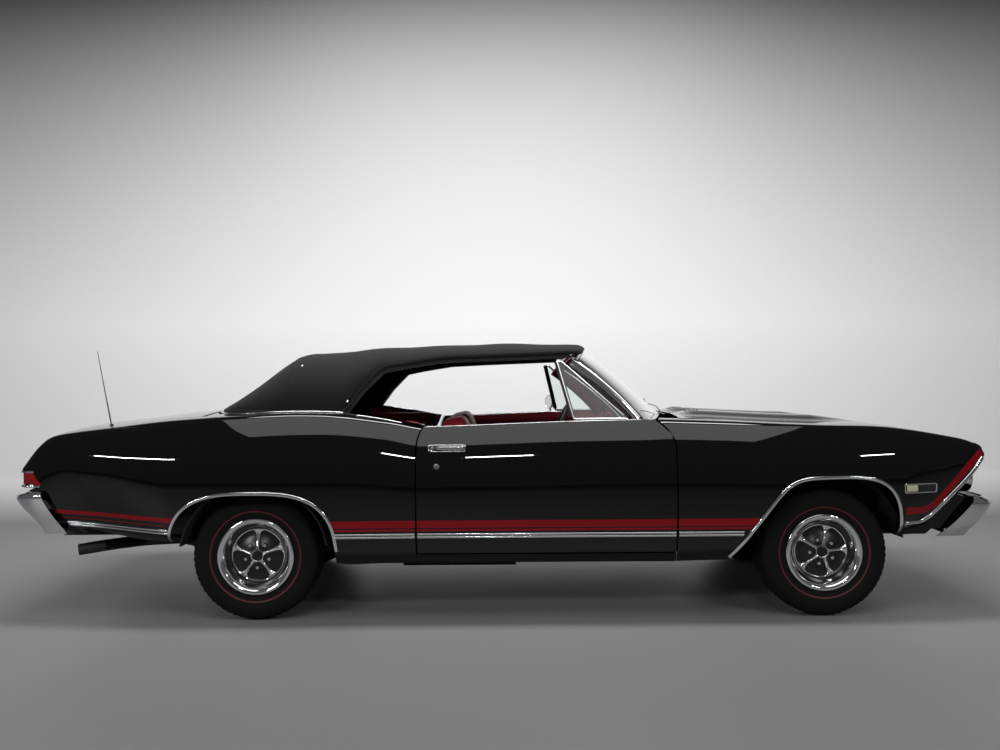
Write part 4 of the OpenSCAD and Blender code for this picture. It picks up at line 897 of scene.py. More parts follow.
BANDS = (("quarter_rear", BOTH, tail_edge, rear_arch_edge(-1)),
         ("quarter_fore", BOTH, rear_arch_edge(1), upright(DOOR_R - GAP - 1)),
         ("door", DOORS, upright(DOOR_R + 1), upright(DOOR_F - 1)),
         ("fender_rear", BOTH, upright(DOOR_F + GAP + 1), flank_edge))
BROAD_BAND, THIN_BAND = (40, 76), (23, 34)
for name, bodies, x0, x1 in BANDS:
    shape = joined(band(x0, x1, *BROAD_BAND), band(x0, x1, *THIN_BAND))
    pair(name + "_band", shape, bodies, RED_PAINT, "black_paint")
NOSE_X = AXLE_F + 384
NOSE_LINE = curve([(NOSE_X, 528), (2040, 528), (2096, 531), (2150, 559), (2228, 638), (2327, 739),
                   (2408, 812)], 70)
pair("nose_band", ribbon(NOSE_LINE + [0, 4], 36), BOTH, RED_PAINT, "black_paint")

MOULDINGS = ((BOTH, -2190, AXLE_R - ARCH_R, 40), (BOTH, AXLE_R + ARCH_R, DOOR_R - GAP - 3, 30),
             (DOORS, DOOR_R + 3, DOOR_F - 3, 60), (BOTH, DOOR_F + GAP + 3, AXLE_F - 424, 30))
for k, (bodies, first, last, n) in enumerate(MOULDINGS):
    x = np.linspace(first, last, n)
    twin = joined(strip(x, crease(x) + 7, 10, 6), strip(x, crease(x) - 7, 10, 6))
    bright_pair(f"side_moulding_{k}", twin, bodies)
EDGE_LINE = curve([(NOSE_X, 470), (2040, 470), (2080, 472), (2132, 500), (2222, 588), (2336, 700),
                   (2412, 786)], 60)
bright_pair("nose_moulding", strip(EDGE_LINE[:, 0], EDGE_LINE[:, 1], 19, 7))
bright_pair("front_arch_lip", arch_moulding(True))
bright_pair("rear_arch_lip", arch_moulding(False))


# Marker lamps, handles and locks
def bevelled(xs, zs, aft, fore, n):
    """Closed line round a rectangle with its corners cut off, each straight stretch sampled n times."""
    (x0, x1), (z0, z1) = xs, zs
    c = np.array([(x0 + aft[0], z1), (x1 - fore[0], z1), (x1, z1 - fore[1]), (x1, z0 + fore[1]),
                  (x1 - fore[0], z0), (x0 + aft[0], z0), (x0, z0 + aft[1]), (x0, z1 - aft[1])])
    t = np.linspace(0, 1, n, endpoint=False)[:, None]
    return np.concatenate([mix(a, b, t) for a, b in zip(c, np.roll(c, -1, 0))])


def side_frame(loop, width):
    """Bright bar on the side along a closed line of places and heights."""
    return rod(on_side(loop[:, 0], loop[:, 1], 2), (0, 1, 0), width, 8, 10, 0.8, loop=True)


MARKER_X, MARKER_Z = (1974.0, 2148.0), (624.0, 666.0)
for name, x0, x1, mat in (("marker_lens", 8, 68, CREAM_LENS), ("marker_dark", 72, 166, BLACK_TRIM)):
    x = MARKER_X[0] + np.linspace(x0, x1, 12)
    pair(name, strip(x, np.mean(MARKER_Z) + 0 * x, 32, 5), BOTH, mat, "lamp_glass")
bright_pair("marker_frame", side_frame(bevelled(MARKER_X, MARKER_Z, (4, 4), (4, 4), 12), 8))

HANDLE_X, HANDLE_Z, HANDLE_HALF = (-376.0, -192.0), 859.0, 15.0
LOCK_X, LOCK_Z = -334.0, 772.0
BUTTON = [(0.5, -4), (12, -4), (12, 8), (10, 11), (7, 10), (0.5, 9)]
LOCK = [(0.5, -4), (15, -4), (15, 3), (12, 6), (0.5, 5)]


def handle():
    """Door handle: a frame, a grip that stands off between its ends, and a push button."""
    loop = bevelled(HANDLE_X, (HANDLE_Z - HANDLE_HALF, HANDLE_Z + HANDLE_HALF), (12, 10), (6, 6), 10)
    x = np.linspace(HANDLE_X[0] + 42, HANDLE_X[1] - 7, 30)
    proud = 16 - 10 * np.abs(np.linspace(-1, 1, 30)) ** 8
    grip = rod(on_side(x, HANDLE_Z + 1 + 0 * x, proud), (0, 1, 0), 16, 9, 16, 0.45)
    return joined(side_frame(loop, 5), grip, turned(BUTTON, on_side(HANDLE_X[0] + 21, HANDLE_Z), 32))


x = np.linspace(HANDLE_X[0] + 8, HANDLE_X[1] - 8, 16)
recess = rod(on_side(x, HANDLE_Z + 0 * x, 0), (0, 1, 0), 30, 4, 12, 0.5)
pair("handle_recess", recess, DOORS, BLACK_TRIM, "dark_plastic")
bright_pair("door_handle", handle(), DOORS)
bright_pair("door_lock", turned(LOCK, on_side(LOCK_X, LOCK_Z), 32), DOORS, sharp=32)


# Soft top's stations: share of the length, drop from the roof, share of the edge's rise, half width, power
HEADER_X, BASE_X = DOOR_F - 428, LID_F + 67
SOFT = np.array([
    [0.000, 333, 0.124, 560, 2.6], [0.026, 308, 0.130, 650, 2.8], [0.079, 236, 0.126, 712, 3.0],
    [0.194, 69, 0.12, 733, 3.2], [0.260, 47, 0.12, 737, 3.2], [0.347, 37, 0.13, 738, 3.2],
    [0.393, 27, 0.40, 706, 2.9], [0.449, 18, 0.648, 676, 2.6], [0.510, 14, 0.705, 660, 2.4],
    [0.605, 9, 0.773, 648, 2.3], [0.714, 2, 0.795, 640, 2.3], [0.780, 0, 0.805, 634, 2.3],
    [0.900, 4, 0.823, 620, 2.3], [0.965, 8, 0.832, 612, 2.3], [1.000, 16, 0.836, 608, 2.3]])
HEADER_HALF, HEADER_BOW, HEADER_TURN, HEADER_DROP, SAG = 608, 45, 0.982, 24, 5.0
WINDOW_X, WINDOW_Y = (BASE_X + 75, BASE_X + 330), 430.0
BOWS = np.array([0.0, 0.194, 0.40, 0.60, 0.80, 1.0])
TOP_MIDDLE = np.array([0, 0, 900.0])
BELOW, WINDOW_ROWS, SIDE_COLUMNS = 10, 30, 25


def soft_edge(s):
    """Height of the top's lower edge at a share of its length."""
    return mix(BELT, ROOF, smooth(SOFT, s, 2))


def soft_point(s, a, lift=0.0):
    """Soft top: superellipse sections from the rear base to the header, sagging a little between the bows.

    Its front edge turns down in a quarter round."""
    y, e, n = smooth(SOFT, s, 3), soft_edge(s), smooth(SOFT, s, 4)
    h = ROOF - smooth(SOFT, s, 1)
    py = y * signed(np.cos(a), 2 / n)
    k = np.clip(np.searchsorted(BOWS, s, side="right") - 1, 0, len(BOWS) - 2)
    part = (s - BOWS[k]) / (BOWS[k + 1] - BOWS[k])
    rise = np.abs(np.sin(a))
    sag = SAG * np.sin(np.pi * part) ** 2 * rise**2 * (s > BOWS[1])
    x = mix(BASE_X, HEADER_X, s) + HEADER_BOW * ramp(s, 0.8, 1) * (1 - (py / HEADER_HALF) ** 2)
    turn = HEADER_DROP * (1 - np.sqrt(1 - ramp(s, HEADER_TURN, 1) ** 2))
    drop = (lift - turn) * rise - sag
    return stack(x, py * (1 + lift / 900), e + (h - e) * rise ** (2 / n) + drop)


def soft_columns(s):
    """Angles of the grid's columns: the edge of the rear window stays on one column."""
    n = smooth(SOFT, s, 4)
    cut = np.arccos(np.clip(WINDOW_Y / smooth(SOFT, s, 3), 0, 0.98) ** (n / 2))[:, None]
    side = np.linspace(0, 1, SIDE_COLUMNS)[None]
    middle = mix(cut, math.pi - cut, np.linspace(0, 1, 41)[None])[:, 1:-1]
    return np.concatenate([cut * side, middle, math.pi - cut * side[:, ::-1]], 1)


def soft_top():
    """The cloth as a grid with the window's faces left out, and the window as its own grid."""
    lo, hi = [(w - BASE_X) / (HEADER_X - BASE_X) for w in WINDOW_X]
    edge = 0.98 + 0.02 * np.sin(np.linspace(0, math.pi / 2, 14))
    s = np.concatenate([np.linspace(0, lo, BELOW), np.linspace(lo, hi, WINDOW_ROWS)[1:],
                        np.linspace(hi, 0.98, 110)[1:], edge[1:]])
    g = soft_point(s[:, None], soft_columns(s))
    n, m = g.shape[:2]
    f = quads(n, m)
    row, col = f[:, 0] // m, f[:, 0] % m
    r0, c0 = BELOW - 1, SIDE_COLUMNS - 1
    r1, c1 = r0 + WINDOW_ROWS - 1, m - 1 - c0
    hole = (row >= r0) & (row < r1) & (col >= c0) & (col < c1)
    return g, f[~hole], g[r0:r1 + 1, c0:c1 + 1]


def lining(g, t):
    """Grid moved inwards along the surface's own normal by a thickness."""
    nrm = np.cross(np.gradient(g, axis=0), np.gradient(g, axis=1))
    nrm /= np.linalg.norm(nrm, axis=-1, keepdims=True) + 1e-9
    way = np.sign(np.sum(nrm * (g - np.array([0, 0, 700.0])), -1, keepdims=True))
    return g - nrm * way * t


def area_of(points, faces):
    """Area of quads in square metres: half the cross product of each one's diagonals."""
    c = points.reshape(-1, 3)[faces] * 0.001
    return 0.5 * np.sum(np.linalg.norm(np.cross(c[:, 2] - c[:, 0], c[:, 3] - c[:, 1]), axis=1))


soft_grid, soft_faces, window_grid = soft_top()
cloth = piece("top_cloth", (soft_grid, soft_faces), "body", CLOTH, "top_cloth", sharp=60, closed=False)
thick = cloth.modifiers.new("thickness", "SOLIDIFY")
thick.thickness = 0.003
thick.offset = -1.0
float(area_of(soft_grid, soft_faces))
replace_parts(cloth, "soft_top")
rear_light = piece("rear_light", slab(window_grid, lining(window_grid, 3)), "body", GLASS, "window_glass")
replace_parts(rear_light, "rear_window")


def welt(s, a, width):
    """Sewn cord on the top along a line of shares and angles."""
    p = soft_point(s, a, 1)
    return rod(p, p - TOP_MIDDLE, width, 5, 10)


def top_welts():
    """Cords over the rear bow and along both sides, the window's rim, the lower edges, the header's roll."""
    t = np.linspace(0.03, math.pi - 0.03, 90)
    welts = [welt(BOWS[1] + 0 * t, t, 12)]
    run = np.linspace(BOWS[1], 0.995, 80)
    welts += [welt(run, np.full(80, a), 9) for a in (0.62, math.pi - 0.62)]
    g = window_grid
    rim = np.concatenate([g[0], g[1:, -1], g[-1, -2::-1], g[-2:0:-1, 0]])
    welts.append(rod(rim, (-0.6, 0, 0.8), 16, 6, 10, loop=True))
    full = np.linspace(0.004, 0.996, 160)
    for a, way in ((0.0, 1), (math.pi, -1)):
        p = soft_point(full, np.full(160, a))
        welts.append(rod(p + np.array([0, 0, 5.0]), (0, way, 0), 22, 9, 10, 0.8))
    p = soft_point(np.full(80, 0.998), np.linspace(0, math.pi, 80))
    welts.append(rod(p - np.array([12, 0, 2.0]), (0.8, 0, 0.6), 26, 26, 14))
    return joined(*welts)


piece("top_welts", top_welts(), "body", CLOTH, "top_cloth", sharp=60)

# Windshield: half widths at the top and foot, the foot's place and bow, the glass's bow and side wrap, wipers
SHIELD_TOP_Y, SHIELD_FOOT_Y = 572, 716
FOOT_X, FOOT_BOW, FOOT_RISE = DOOR_F - 83, 108, 14
SHIELD_BOW, SIDE_WRAP = np.array([18, 0, 10.0]), np.array([28, 0, 28.0])
SHIELD_OUT, GLASS_HALF = (0.7, 0, 0.7), np.array([0.71, 0, 0.71]) * 3
WIPER_Y, WIPER_RUN, WIPER_REACH = (330.0, -290.0), 330, 0.16


def header_point(a):
    """Windshield's top edge at a share of its half width: the soft top's front section, a little lower."""
    q = SHIELD_TOP_Y * a / HEADER_HALF
    z = mix(soft_edge(np.array(1.0)), ROOF - 16, (1 - np.abs(q) ** 2.3) ** (1 / 2.3)) - 27
    return stack(HEADER_X - 18 + HEADER_BOW * (1 - q**2), SHIELD_TOP_Y * a, z)


def base_point(a):
    """Windshield's foot at a share of its half width: a parabola bowed forward and up at the cowl."""
    return stack(FOOT_X + FOOT_BOW * (1 - a**2), SHIELD_FOOT_Y * a, BELT + 4 + FOOT_RISE * (1 - a**2))


def shield(a, b):
    """Windshield: straight from the cowl to the header, bowed forward between them."""
    b = np.asarray(b, float)
    bow = SHIELD_BOW * (4 * b * (1 - b))[..., None]
    return base_point(a) + (header_point(a) - base_point(a)) * b[..., None] + bow


def pane_point(a, b):
    """Windshield with its sides curved back to the posts."""
    return shield(a, b) - SIDE_WRAP * (np.abs(a) ** 5)[..., None]


def pillar(s, back, first=0.0):
    """Line beside the windshield on one side, a distance behind it and starting above the belt."""
    b = np.linspace(back / 400 + first, 1, 40)
    return shield(np.full(40, s), b) - np.array([back, 0, back])


a, b = np.meshgrid(np.linspace(0.985, -0.985, 60), np.linspace(0.03, 0.97, 30), indexing="ij")
glass = slab(pane_point(a, b) + GLASS_HALF, pane_point(a, b) - GLASS_HALF)
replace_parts(piece("windshield_pane", glass, "body", GLASS, "window_glass"), "windshield_glass")
posts, seals, garnish = [], [], []
for s in (-1.0, 1.0):
    out = np.array([0, s, 0])
    posts.append(rod(pillar(s, 42.0) + 3 * out, out, 46, 20, 20, 0.8))
    posts.append(rod(pillar(s, 84.0) + 2 * out, out, 9, 12, 12, 0.8))
    seals.append(rod(pillar(s, 76.0) - 4 * out, out, 58, 8, 12, 0.5))
    garnish.append(rod(pillar(s, 62.0, 0.01) - 20 * out, out, 84, 16, 14, 0.5))
over = np.linspace(-1, 1, 70)
for b, width, depth in ((1.0, 30, 24), (0.0, 26, 22)):
    posts.append(rod(pane_point(over, np.full(70, b)), SHIELD_OUT, width, depth, 14, 0.8))
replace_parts(bright("windshield_surround", joined(*posts)), "windshield_frame")
piece("pillar_seals", joined(*seals), "body", BLACK_TRIM, "dark_plastic", sharp=60)
padding("pillar_garnish", joined(*garnish))


def wiper(y):
    """Wiper arm from a pivot at the cowl to its tip on the glass, bowed away from it."""
    start = base_point(np.array(y / SHIELD_FOOT_Y)) + np.array([26, 0, 6])
    tip = shield(np.array((y - WIPER_RUN) / SHIELD_FOOT_Y), np.array(WIPER_REACH)) + np.array([14, 0, 14])
    middle = mix(start, tip, 0.5) + np.array([8, 0, 12])
    return rod(curve([start, middle, tip], 20), SHIELD_OUT, 9, 6, 10)


piece("wiper_arms", joined(*(wiper(y) for y in WIPER_Y)), "body", STEEL, "bright_metal", sharp=50)

# Vent windows: low rear, low front, high front and high rear corners
VENT_LOW, VENT_TOP, VENT_Y, VENT_LEAN = 991, 1288, 799.5, 140
VENT = np.array([(353, VENT_LOW), (628, VENT_LOW), (301, VENT_TOP), (278, VENT_TOP)], float)
VENT_OUT = (0, 1, 0.45)


def vent_point(p):
    """Points of the leaning pane from places and heights."""
    return stack(p[..., 0], VENT_Y - VENT_LEAN * (p[..., 1] - VENT_LOW) / (VENT_TOP - VENT_LOW), p[..., 1])


def vent_loop(corners, n):
    """Edge of the pane from its corners, each side sampled n times."""
    t = np.linspace(0, 1, n, endpoint=False)[:, None]
    return vent_point(np.concatenate([mix(a, b, t) for a, b in zip(corners, np.roll(corners, -1, 0))]))


middle = VENT.mean(0)
edge = vent_loop(middle + (VENT - middle) * 0.985, 16)
bright_pair("vent_surround", rod(edge, VENT_OUT, 13, 14, 10, 0.8, loop=True), DOORS)
u, v = np.meshgrid(np.linspace(0, 1, 14), np.linspace(0, 1, 14), indexing="ij")
low_edge = mix(VENT[0], VENT[1], u[..., None])
high_edge = mix(VENT[3], VENT[2], u[..., None])
pane = vent_point(mix(low_edge, high_edge, v[..., None]))
panes = pair("vent_pane", slab(pane + [0, 2, 0], pane - [0, 2, 0]), DOORS, GLASS, "vent_glass")
for ob, side in zip(panes, SIDES):
    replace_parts(ob, "vent_window_" + side)

# Dark inner channel of each vent window's rear post, the last side of its edge
channel = vent_loop(VENT, 20)[60:] - np.array([0, 12, 0])
pair("vent_channel", rod(channel, VENT_OUT, 26, 14, 10, 0.7), DOORS, BLACK_TRIM, "dark_plastic")


# Bright lines along the belt and round the foot of the top
def top_line(x, y, lift):
    """Line on the upper surface at places along and across the car."""
    return sheet(x, y / top_y(x)) + np.array([0, 0, lift])


def belt_bar(line):
    """Bright half-round bar lying on the upper surface."""
    return rod(line, (0, 0, 1), 15, 9, 12, 0.8)


s = np.linspace(0.0, 0.36, 60)
foot = top_line(mix(BASE_X, HEADER_X, s), smooth(SOFT, s, 3) + 15, 2.0)
x = np.linspace(foot[-1, 0] + 60, DOOR_R - 60, 24)
rest = top_line(x, top_y(x) - 26, 2.0)
belt = belt_bar(curve(np.concatenate([foot[::3], rest[::3]]), 120))
back = top_line(np.full(60, BASE_X - 16), np.linspace(570, -570, 60), 2.5)
bright("belt_moulding", joined(belt, flip(*belt), belt_bar(back)))
x = np.linspace(DOOR_R + 48, DOOR_F - 92, 60)
door_top = rod(stack(x, top_y(x) - 9, top(x) + 1), (0, 0, 1), 11, 6, 12, 0.8)
pair("door_top_moulding", door_top, DOORS, STEEL, "bright_metal", sharp=50)
SNAP = [(0.5, -3), (8, -3), (8, 2), (5, 5), (0.5, 6)]
SNAPS = ((0.225, 0.70), (0.358, 0.03))
snaps = [turned(SNAP, soft_point(np.array(s), np.array(a)), 20, (0, 0.8, 0.6)) for s, a in SNAPS]
bright_pair("top_button", joined(*snaps), sharp=32)

# Nose: red band over the lip, lamps, grille lines
x, f = np.meshgrid(np.linspace(TIP - 50, TIP - 12, 6), np.linspace(0.985, -0.985, 120), indexing="ij")
lip = slab(sheet(x, f) + [0, 0, FILM], sheet(x, f) - [0, 0, FILM_SUNK])
piece("nose_lip_band", lip, "body", RED_PAINT, "black_paint")
LAMPS, LAMP_Z, LAMP_X = (520.0, 690.0, -520.0, -690.0), CREASE + 245, TIP - 225
SHELL = [(72, 0), (73, 150), (73.4, 168), (71, 175), (66, 177), (61, 173), (58, 166), (56, 166), (56, 20),
         (60, 0)]
LENS = [(0.5, 20), (55.5, 20), (55.5, 164), (50, 170), (36, 176), (18, 179.5), (0.5, 181)]
bezels = [turned(SHELL, (LAMP_X, y, LAMP_Z), 72, (1, 0, 0)) for y in LAMPS]
lenses = [turned(curve(LENS, 40), (LAMP_X, y, LAMP_Z), 72, (1, 0, 0)) for y in LAMPS]
bright("lamp_bezels", joined(*bezels), sharp=40)
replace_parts(piece("lamp_lenses", joined(*lenses), "body", CLEAR_LENS, "lamp_glass", sharp=40), "headlamps")
GRILLE_Z, GRILLE_HIGH, GRILLE_X, GRILLE_RAKE = CREASE + 150, 185, TIP - 215, 110
y = np.linspace(-440, 440, 30)
bars = []
for h in np.arange(4, GRILLE_HIGH, 29.0):
    line = stack(GRILLE_X + GRILLE_RAKE * h / GRILLE_HIGH + 17, y, GRILLE_Z + h)
    bars.append(rod(line, (1, 0, 0), 5, 4, 10))
piece("grille_lines", joined(*bars), "body", STEEL, "bright_metal", sharp=50)

# Apron under the nose: lower edge and half width of its side returns at places along the car
APRON_X, APRON_LOW, APRON_TOP, APRON_DEEP = (1966, 2396), 404, CREASE + 156, 5
APRON_HALF, APRON_BOW, APRON_RAKE, RETURN_TOP = 758, 30, 0.6, 594
RETURN_LOW = ((1966, 402), (2120, 404), (2152, 431), (2258, 437), (2396, 575))
RETURN_Y = ((1966, 822), (2060, 798), (2130, 804), (2240, 806), (2396, 810))


def through(x, points):
    """Height of a line through points, straight between them."""
    return np.interp(x, *np.transpose(points))


def apron():
    """Panel under the nose: raked face across the car, turned back at each end towards the fender's edge."""
    y, z = np.meshgrid(np.linspace(APRON_HALF, -APRON_HALF, 50), np.linspace(APRON_LOW, APRON_TOP, 12),
                       indexing="ij")
    g = stack(TIP - 130 + APRON_BOW * (1 - (y / 760) ** 2) - APRON_RAKE * (CREASE + 100 - z), y, z)
    face = slab(g, g - np.array([APRON_DEEP, 0, 0]))
    x = np.linspace(*APRON_X, 48)[:, None]
    high = np.minimum(through(x, EDGE_LINE), RETURN_TOP)
    z = mix(through(x, RETURN_LOW), high, np.linspace(0, 1, 8)[None])
    g = stack(x, through(x, RETURN_Y), z)
    end = slab(g, g - np.array([0, APRON_DEEP, 0]))
    return joined(face, end, flip(*end))


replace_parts(piece("front_apron", apron(), "body", PAINT, "black_paint", sharp=50), "front_valance")
TAIL_RETURN_Y = ((437, 726), (500, 800), (560, 817), (640, 820))


def tail_return():
    """Side panel between the quarter's raked end and the rear bumper, just inside both."""
    z = np.linspace(440, 640, 24)[None]
    fore = TAIL + lean_x(np.array([[TAIL]]), z) + 25
    (x0, z0), (x1, z1) = REAR_SLANT
    back = mix(x0, x1, (z - z0) / (z1 - z0)) - 25
    g = stack(mix(back, fore, np.linspace(0, 1, 10)[:, None]), through(z, TAIL_RETURN_Y), z)
    return slab(g, g - np.array([0, APRON_DEEP, 0]))


pair("tail_return", tail_return(), BOTH, PAINT, "black_paint", sharp=50)

# Tail: bright bars above and below the lamps, a frame between them
TAIL_HALF = float(top_y(np.array(TAIL))) - 6
LAMP_LOW, LAMP_TOP = CREASE + 239, CREASE + 322
LENS_ROWS = np.linspace(LAMP_LOW + 14, LAMP_TOP - 12, 16)


def tail_point(f, z):
    """Rear panel: raked with the quarters and bowed back in the middle."""
    return stack(TAIL + (top(TAIL) - z) * TAIL_RAKE - TAIL_BOW * (1 - f**2), f * TAIL_HALF, z)


def lamp_bar(z, reach):
    """Bright bar at a height: along the rear panel's outer part, round the corner and along the side."""
    across = tail_point(np.linspace(0.6, 1.0, 30), np.array(LAMP_TOP))
    across = stack(across[:, 0] - 10, across[:, 1], z)
    x, y, _ = across[-1]
    corner = np.array([[x + 4, y + 6, z], [x + 18, y + 10, z]])
    side = np.linspace(x + 34, x + reach, 8)
    run = stack(side, np.maximum(side_y(nominal(side, z), z), y + 9), z)
    return rod(curve(np.concatenate([across[::4], corner, run]), 60), (0, 0, 1), 10, 13, 12, 0.8)


def tail_lens():
    """Lens on the rear panel, upright at its face, and its return on the side."""
    f, z = np.meshgrid(np.linspace(0.63, 0.985, 30), LENS_ROWS, indexing="ij")
    face = tail_point(f, np.full_like(z, LAMP_TOP))
    wedge = slab(stack(face[..., 0] - 9, face[..., 1], z), tail_point(f, z) - [0.6, 0, 0])
    z, t = np.meshgrid(LENS_ROWS, np.linspace(0, 1, 12), indexing="ij")
    x = tail_edge(z) + mix(-2, 42, t)
    return joined(wedge, slab(on_side(x, z, 2.0), on_side(x, z, -1.0)))


bright_pair("lamp_bar", joined(lamp_bar(LAMP_TOP - 5, 76), lamp_bar(LAMP_LOW + 6, 112)))
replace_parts(piece("tail_lenses", mirrored(tail_lens()), "body", RED_LENS, "lamp_red"), "tail_lamps")
f = np.linspace(-0.58, 0.58, 60)
lines = [tail_point(f, np.array(z)) - [4, 0, 0] for z in (LAMP_LOW + 6, LAMP_TOP - 5)]
bright("tail_frame", joined(*(rod(line, (-1, 0, 0), 8, 8) for line in lines)))

# Mirror on the left door
HEAD = [(0.5, 1.5), (43, 1.5), (44, 0), (47, 2), (48, 8), (44, 19), (30, 25), (0.5, 26)]
MIRROR = np.array([DOOR_F - 537, HALF_W - 98.0, BELT + 62])
stem = curve([MIRROR + [13, 0, -42], MIRROR + [13, 6, -70], MIRROR + [13, 12, -100]], 16)
mirror = joined(turned(HEAD, MIRROR, 64, (0.9, 0.44, 0)), rod(stem, (1, 0, 0), 17, 17, 16))
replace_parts(bright("mirror_head", mirror, "door_left", sharp=40), "mirror")


# Cabin
def pad(size, e1, e2, grooves, way, deep=9.0, n=96, m=56):
    """Stuffed pad: a soft box whose upper face along one axis has sewn grooves across another."""
    points, faces = pod(size, e1, e2, n, m)
    face, across = way
    high = np.clip(points[:, face] / (size[face] / 2), 0, 1)
    other = 3 - face - across
    inside = np.clip(1.25 - np.abs(points[:, other]) / (size[other] / 2) * 1.35, 0, 1)
    cut = sum(np.exp(-((points[:, across] - g) / 8.0) ** 2) for g in grooves)
    points[:, face] -= deep * cut * high**4 * np.minimum(inside * 4, 1)
    return points, faces


SEAT_Y, SEAT_TILT, FIRMNESS = 412.0, 12, 0.8
SEAT_BACK_X, SEAT_BACK_Z = -218, 752
PLEATS = (-120, -60, 0, 60, 120)
BENCH_PLEATS = np.arange(-480, 481, 80.0)


def seat(y):
    """Bucket seat: cushion, base, and a leaning back with a rounded top."""
    cushion = moved(pad((470, 496, 150), 0.45, 0.4, PLEATS, (2, 1)), (85, y, 512), tilt(-3))
    lower = moved(pod((430, 440, 60), 0.3, 0.3), (80, y, 424))
    back = pad((168, 492, 500), 0.5, 0.45, PLEATS, (0, 1))
    return joined(cushion, lower, moved(back, (SEAT_BACK_X, y, SEAT_BACK_Z), tilt(SEAT_TILT)))


def piping(y):
    """Pale cords along the edge of the seat's back, superellipses that lean with it."""
    t = np.linspace(0, 2 * math.pi, 90, endpoint=False)
    loops = []
    for x, grow in ((46, 0.93), (66, 0.84)):
        p = stack(x, 246 * grow * signed(np.cos(t), 0.45), 250 * grow * signed(np.sin(t), 0.5))
        cord = rod(p, (1, 0, 0), 5, 5, 8, loop=True)
        loops.append(moved(cord, (SEAT_BACK_X, y, SEAT_BACK_Z), tilt(SEAT_TILT)))
    return joined(*loops)


def bench():
    """Rear seat: a cushion and a leaning back, both pleated along the car."""
    cushion = pad((330, 1140, 120), 0.4, 0.25, BENCH_PLEATS, (2, 1), n=160)
    back = pad((120, 1140, 420), 0.4, 0.25, BENCH_PLEATS, (0, 1), n=160)
    return joined(moved(cushion, (-560, 0, 505), tilt(-4)), moved(back, (-775, 0, 730), tilt(18)))


for side, y in zip(SIDES, (SEAT_Y, -SEAT_Y)):
    ob = padding(f"seat_{side}_pads", seat(y))
    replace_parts(ob, "seat_" + side)
    piece(f"seat_{side}_piping", piping(y), "body", PIPING, "red_vinyl", sharp=60)
ob = padding("bench_pads", bench())
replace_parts(ob, "rear_seat")


def door_trim():
    """Padded panel on the door's inner face, with sewn lines along it and a raised roll at the belt."""
    x = np.linspace(DOOR_R + 62, DOOR_F - 100, 60)[:, None]
    t = np.linspace(0, 1, 60)[None]
    z = mix(DOOR_Z + 60, top(x) - 4, t)
    swell = 8 + 4 * np.abs(np.sin(t * math.pi * 7)) ** 0.5 * (t < 0.8) + 6 * np.exp(-((t - 0.93) / 0.05) ** 2)
    return slab(stack(x, door_inner(z) - swell, z), stack(x, door_inner(z) - 0.5, z))


ARM_X, ARM_Z = 60, 690.0
PULL = [(170, 726, 800), (170, 716, 812), (230, 714, 816), (290, 716, 812), (290, 726, 800)]
arm = moved(pod((430, 62, 66)), (ARM_X, door_inner(np.array(ARM_Z)) - 34, ARM_Z))
pair("door_trim", joined(door_trim(), arm), DOORS, VINYL, "red_vinyl", sharp=60)
bright_pair("door_pull", rod(curve(PULL, 30), (0, -1, 0), 12, 10), DOORS, sharp=32)
trims = joined(moved(pad((232, 40, 556), 0.3, 0.3, (), (1, 0)), (-570, 660, 676)),
               moved(pod((420, 50, 60), 0.5, 0.4), (-640, 676, 958)))
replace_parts(padding("side_pads", mirrored(trims)), "side_trims")


def quarter_trim():
    """Padded panel inside the rear side, from the seat's height up to the inner edge of the belt."""
    x = np.linspace(-880, DOOR_R - 62, 26)[:, None]
    t = np.linspace(0, 1, 20)[None]
    z = mix(600.0, top(x) - 9, t)
    y = top_y(x) - STRIP - 6 + 10 * np.exp(-((t - 0.9) / 0.1) ** 2)
    return slab(stack(x, y - 8, z), stack(x, y, z))


padding("quarter_trim", mirrored(quarter_trim()))
y = np.linspace(-672, 672, 60)
roll = stack(DOOR_F - 190, y, BELT - 30 + 8 * np.exp(-((y - 370) / 190) ** 4))
padding("dash_roll", rod(roll, (-0.5, 0, 0.86), 78, 40, 20, 0.8))
TUNNEL_R, TUNNEL_Z, FLOOR_Z = 171.0, 345, 388
x, y = np.meshgrid(np.linspace(-690, DOOR_F + 20, 40), np.linspace(-770, 770, 90), indexing="ij")
z = np.maximum(FLOOR_Z, TUNNEL_Z + np.sqrt(np.clip(TUNNEL_R**2 - y**2, 0, None)))
piece("carpet", slab(stack(x, y, z + 3), stack(x, y, z - 1)), "body", CARPET, "red_vinyl", sharp=60)

# Air cleaner and valve covers on the engine, louvres in the hood
ENGINE_X = AXLE_F - 160
LID = [(0.5, 96), (150, 96), (168, 98), (172, 104), (168, 112), (120, 117), (30, 120), (22, 126), (0.5, 127)]
cleaner = turned(curve(LID, 50), (ENGINE_X, 0, 730), 96, (0, 0, 1))
covers = [moved(pod((480, 120, 70), 0.4, 0.3), (ENGINE_X, y, 758)) for y in (-240, 240)]
bright("engine_bright", joined(cleaner, *covers), sharp=40)
louvres = []
for s in (-1, 1):
    for k in range(4):
        line = top_line(np.full(12, HOOD_R + 90 + 22 * k), np.linspace(215, 315, 12) * s, 0)
        louvres.append(rod(line, (0, 0, 1), 10, 4, 10))
piece("hood_louvres", joined(*louvres), "hood", BLACK_TRIM, "dark_plastic", sharp=50)

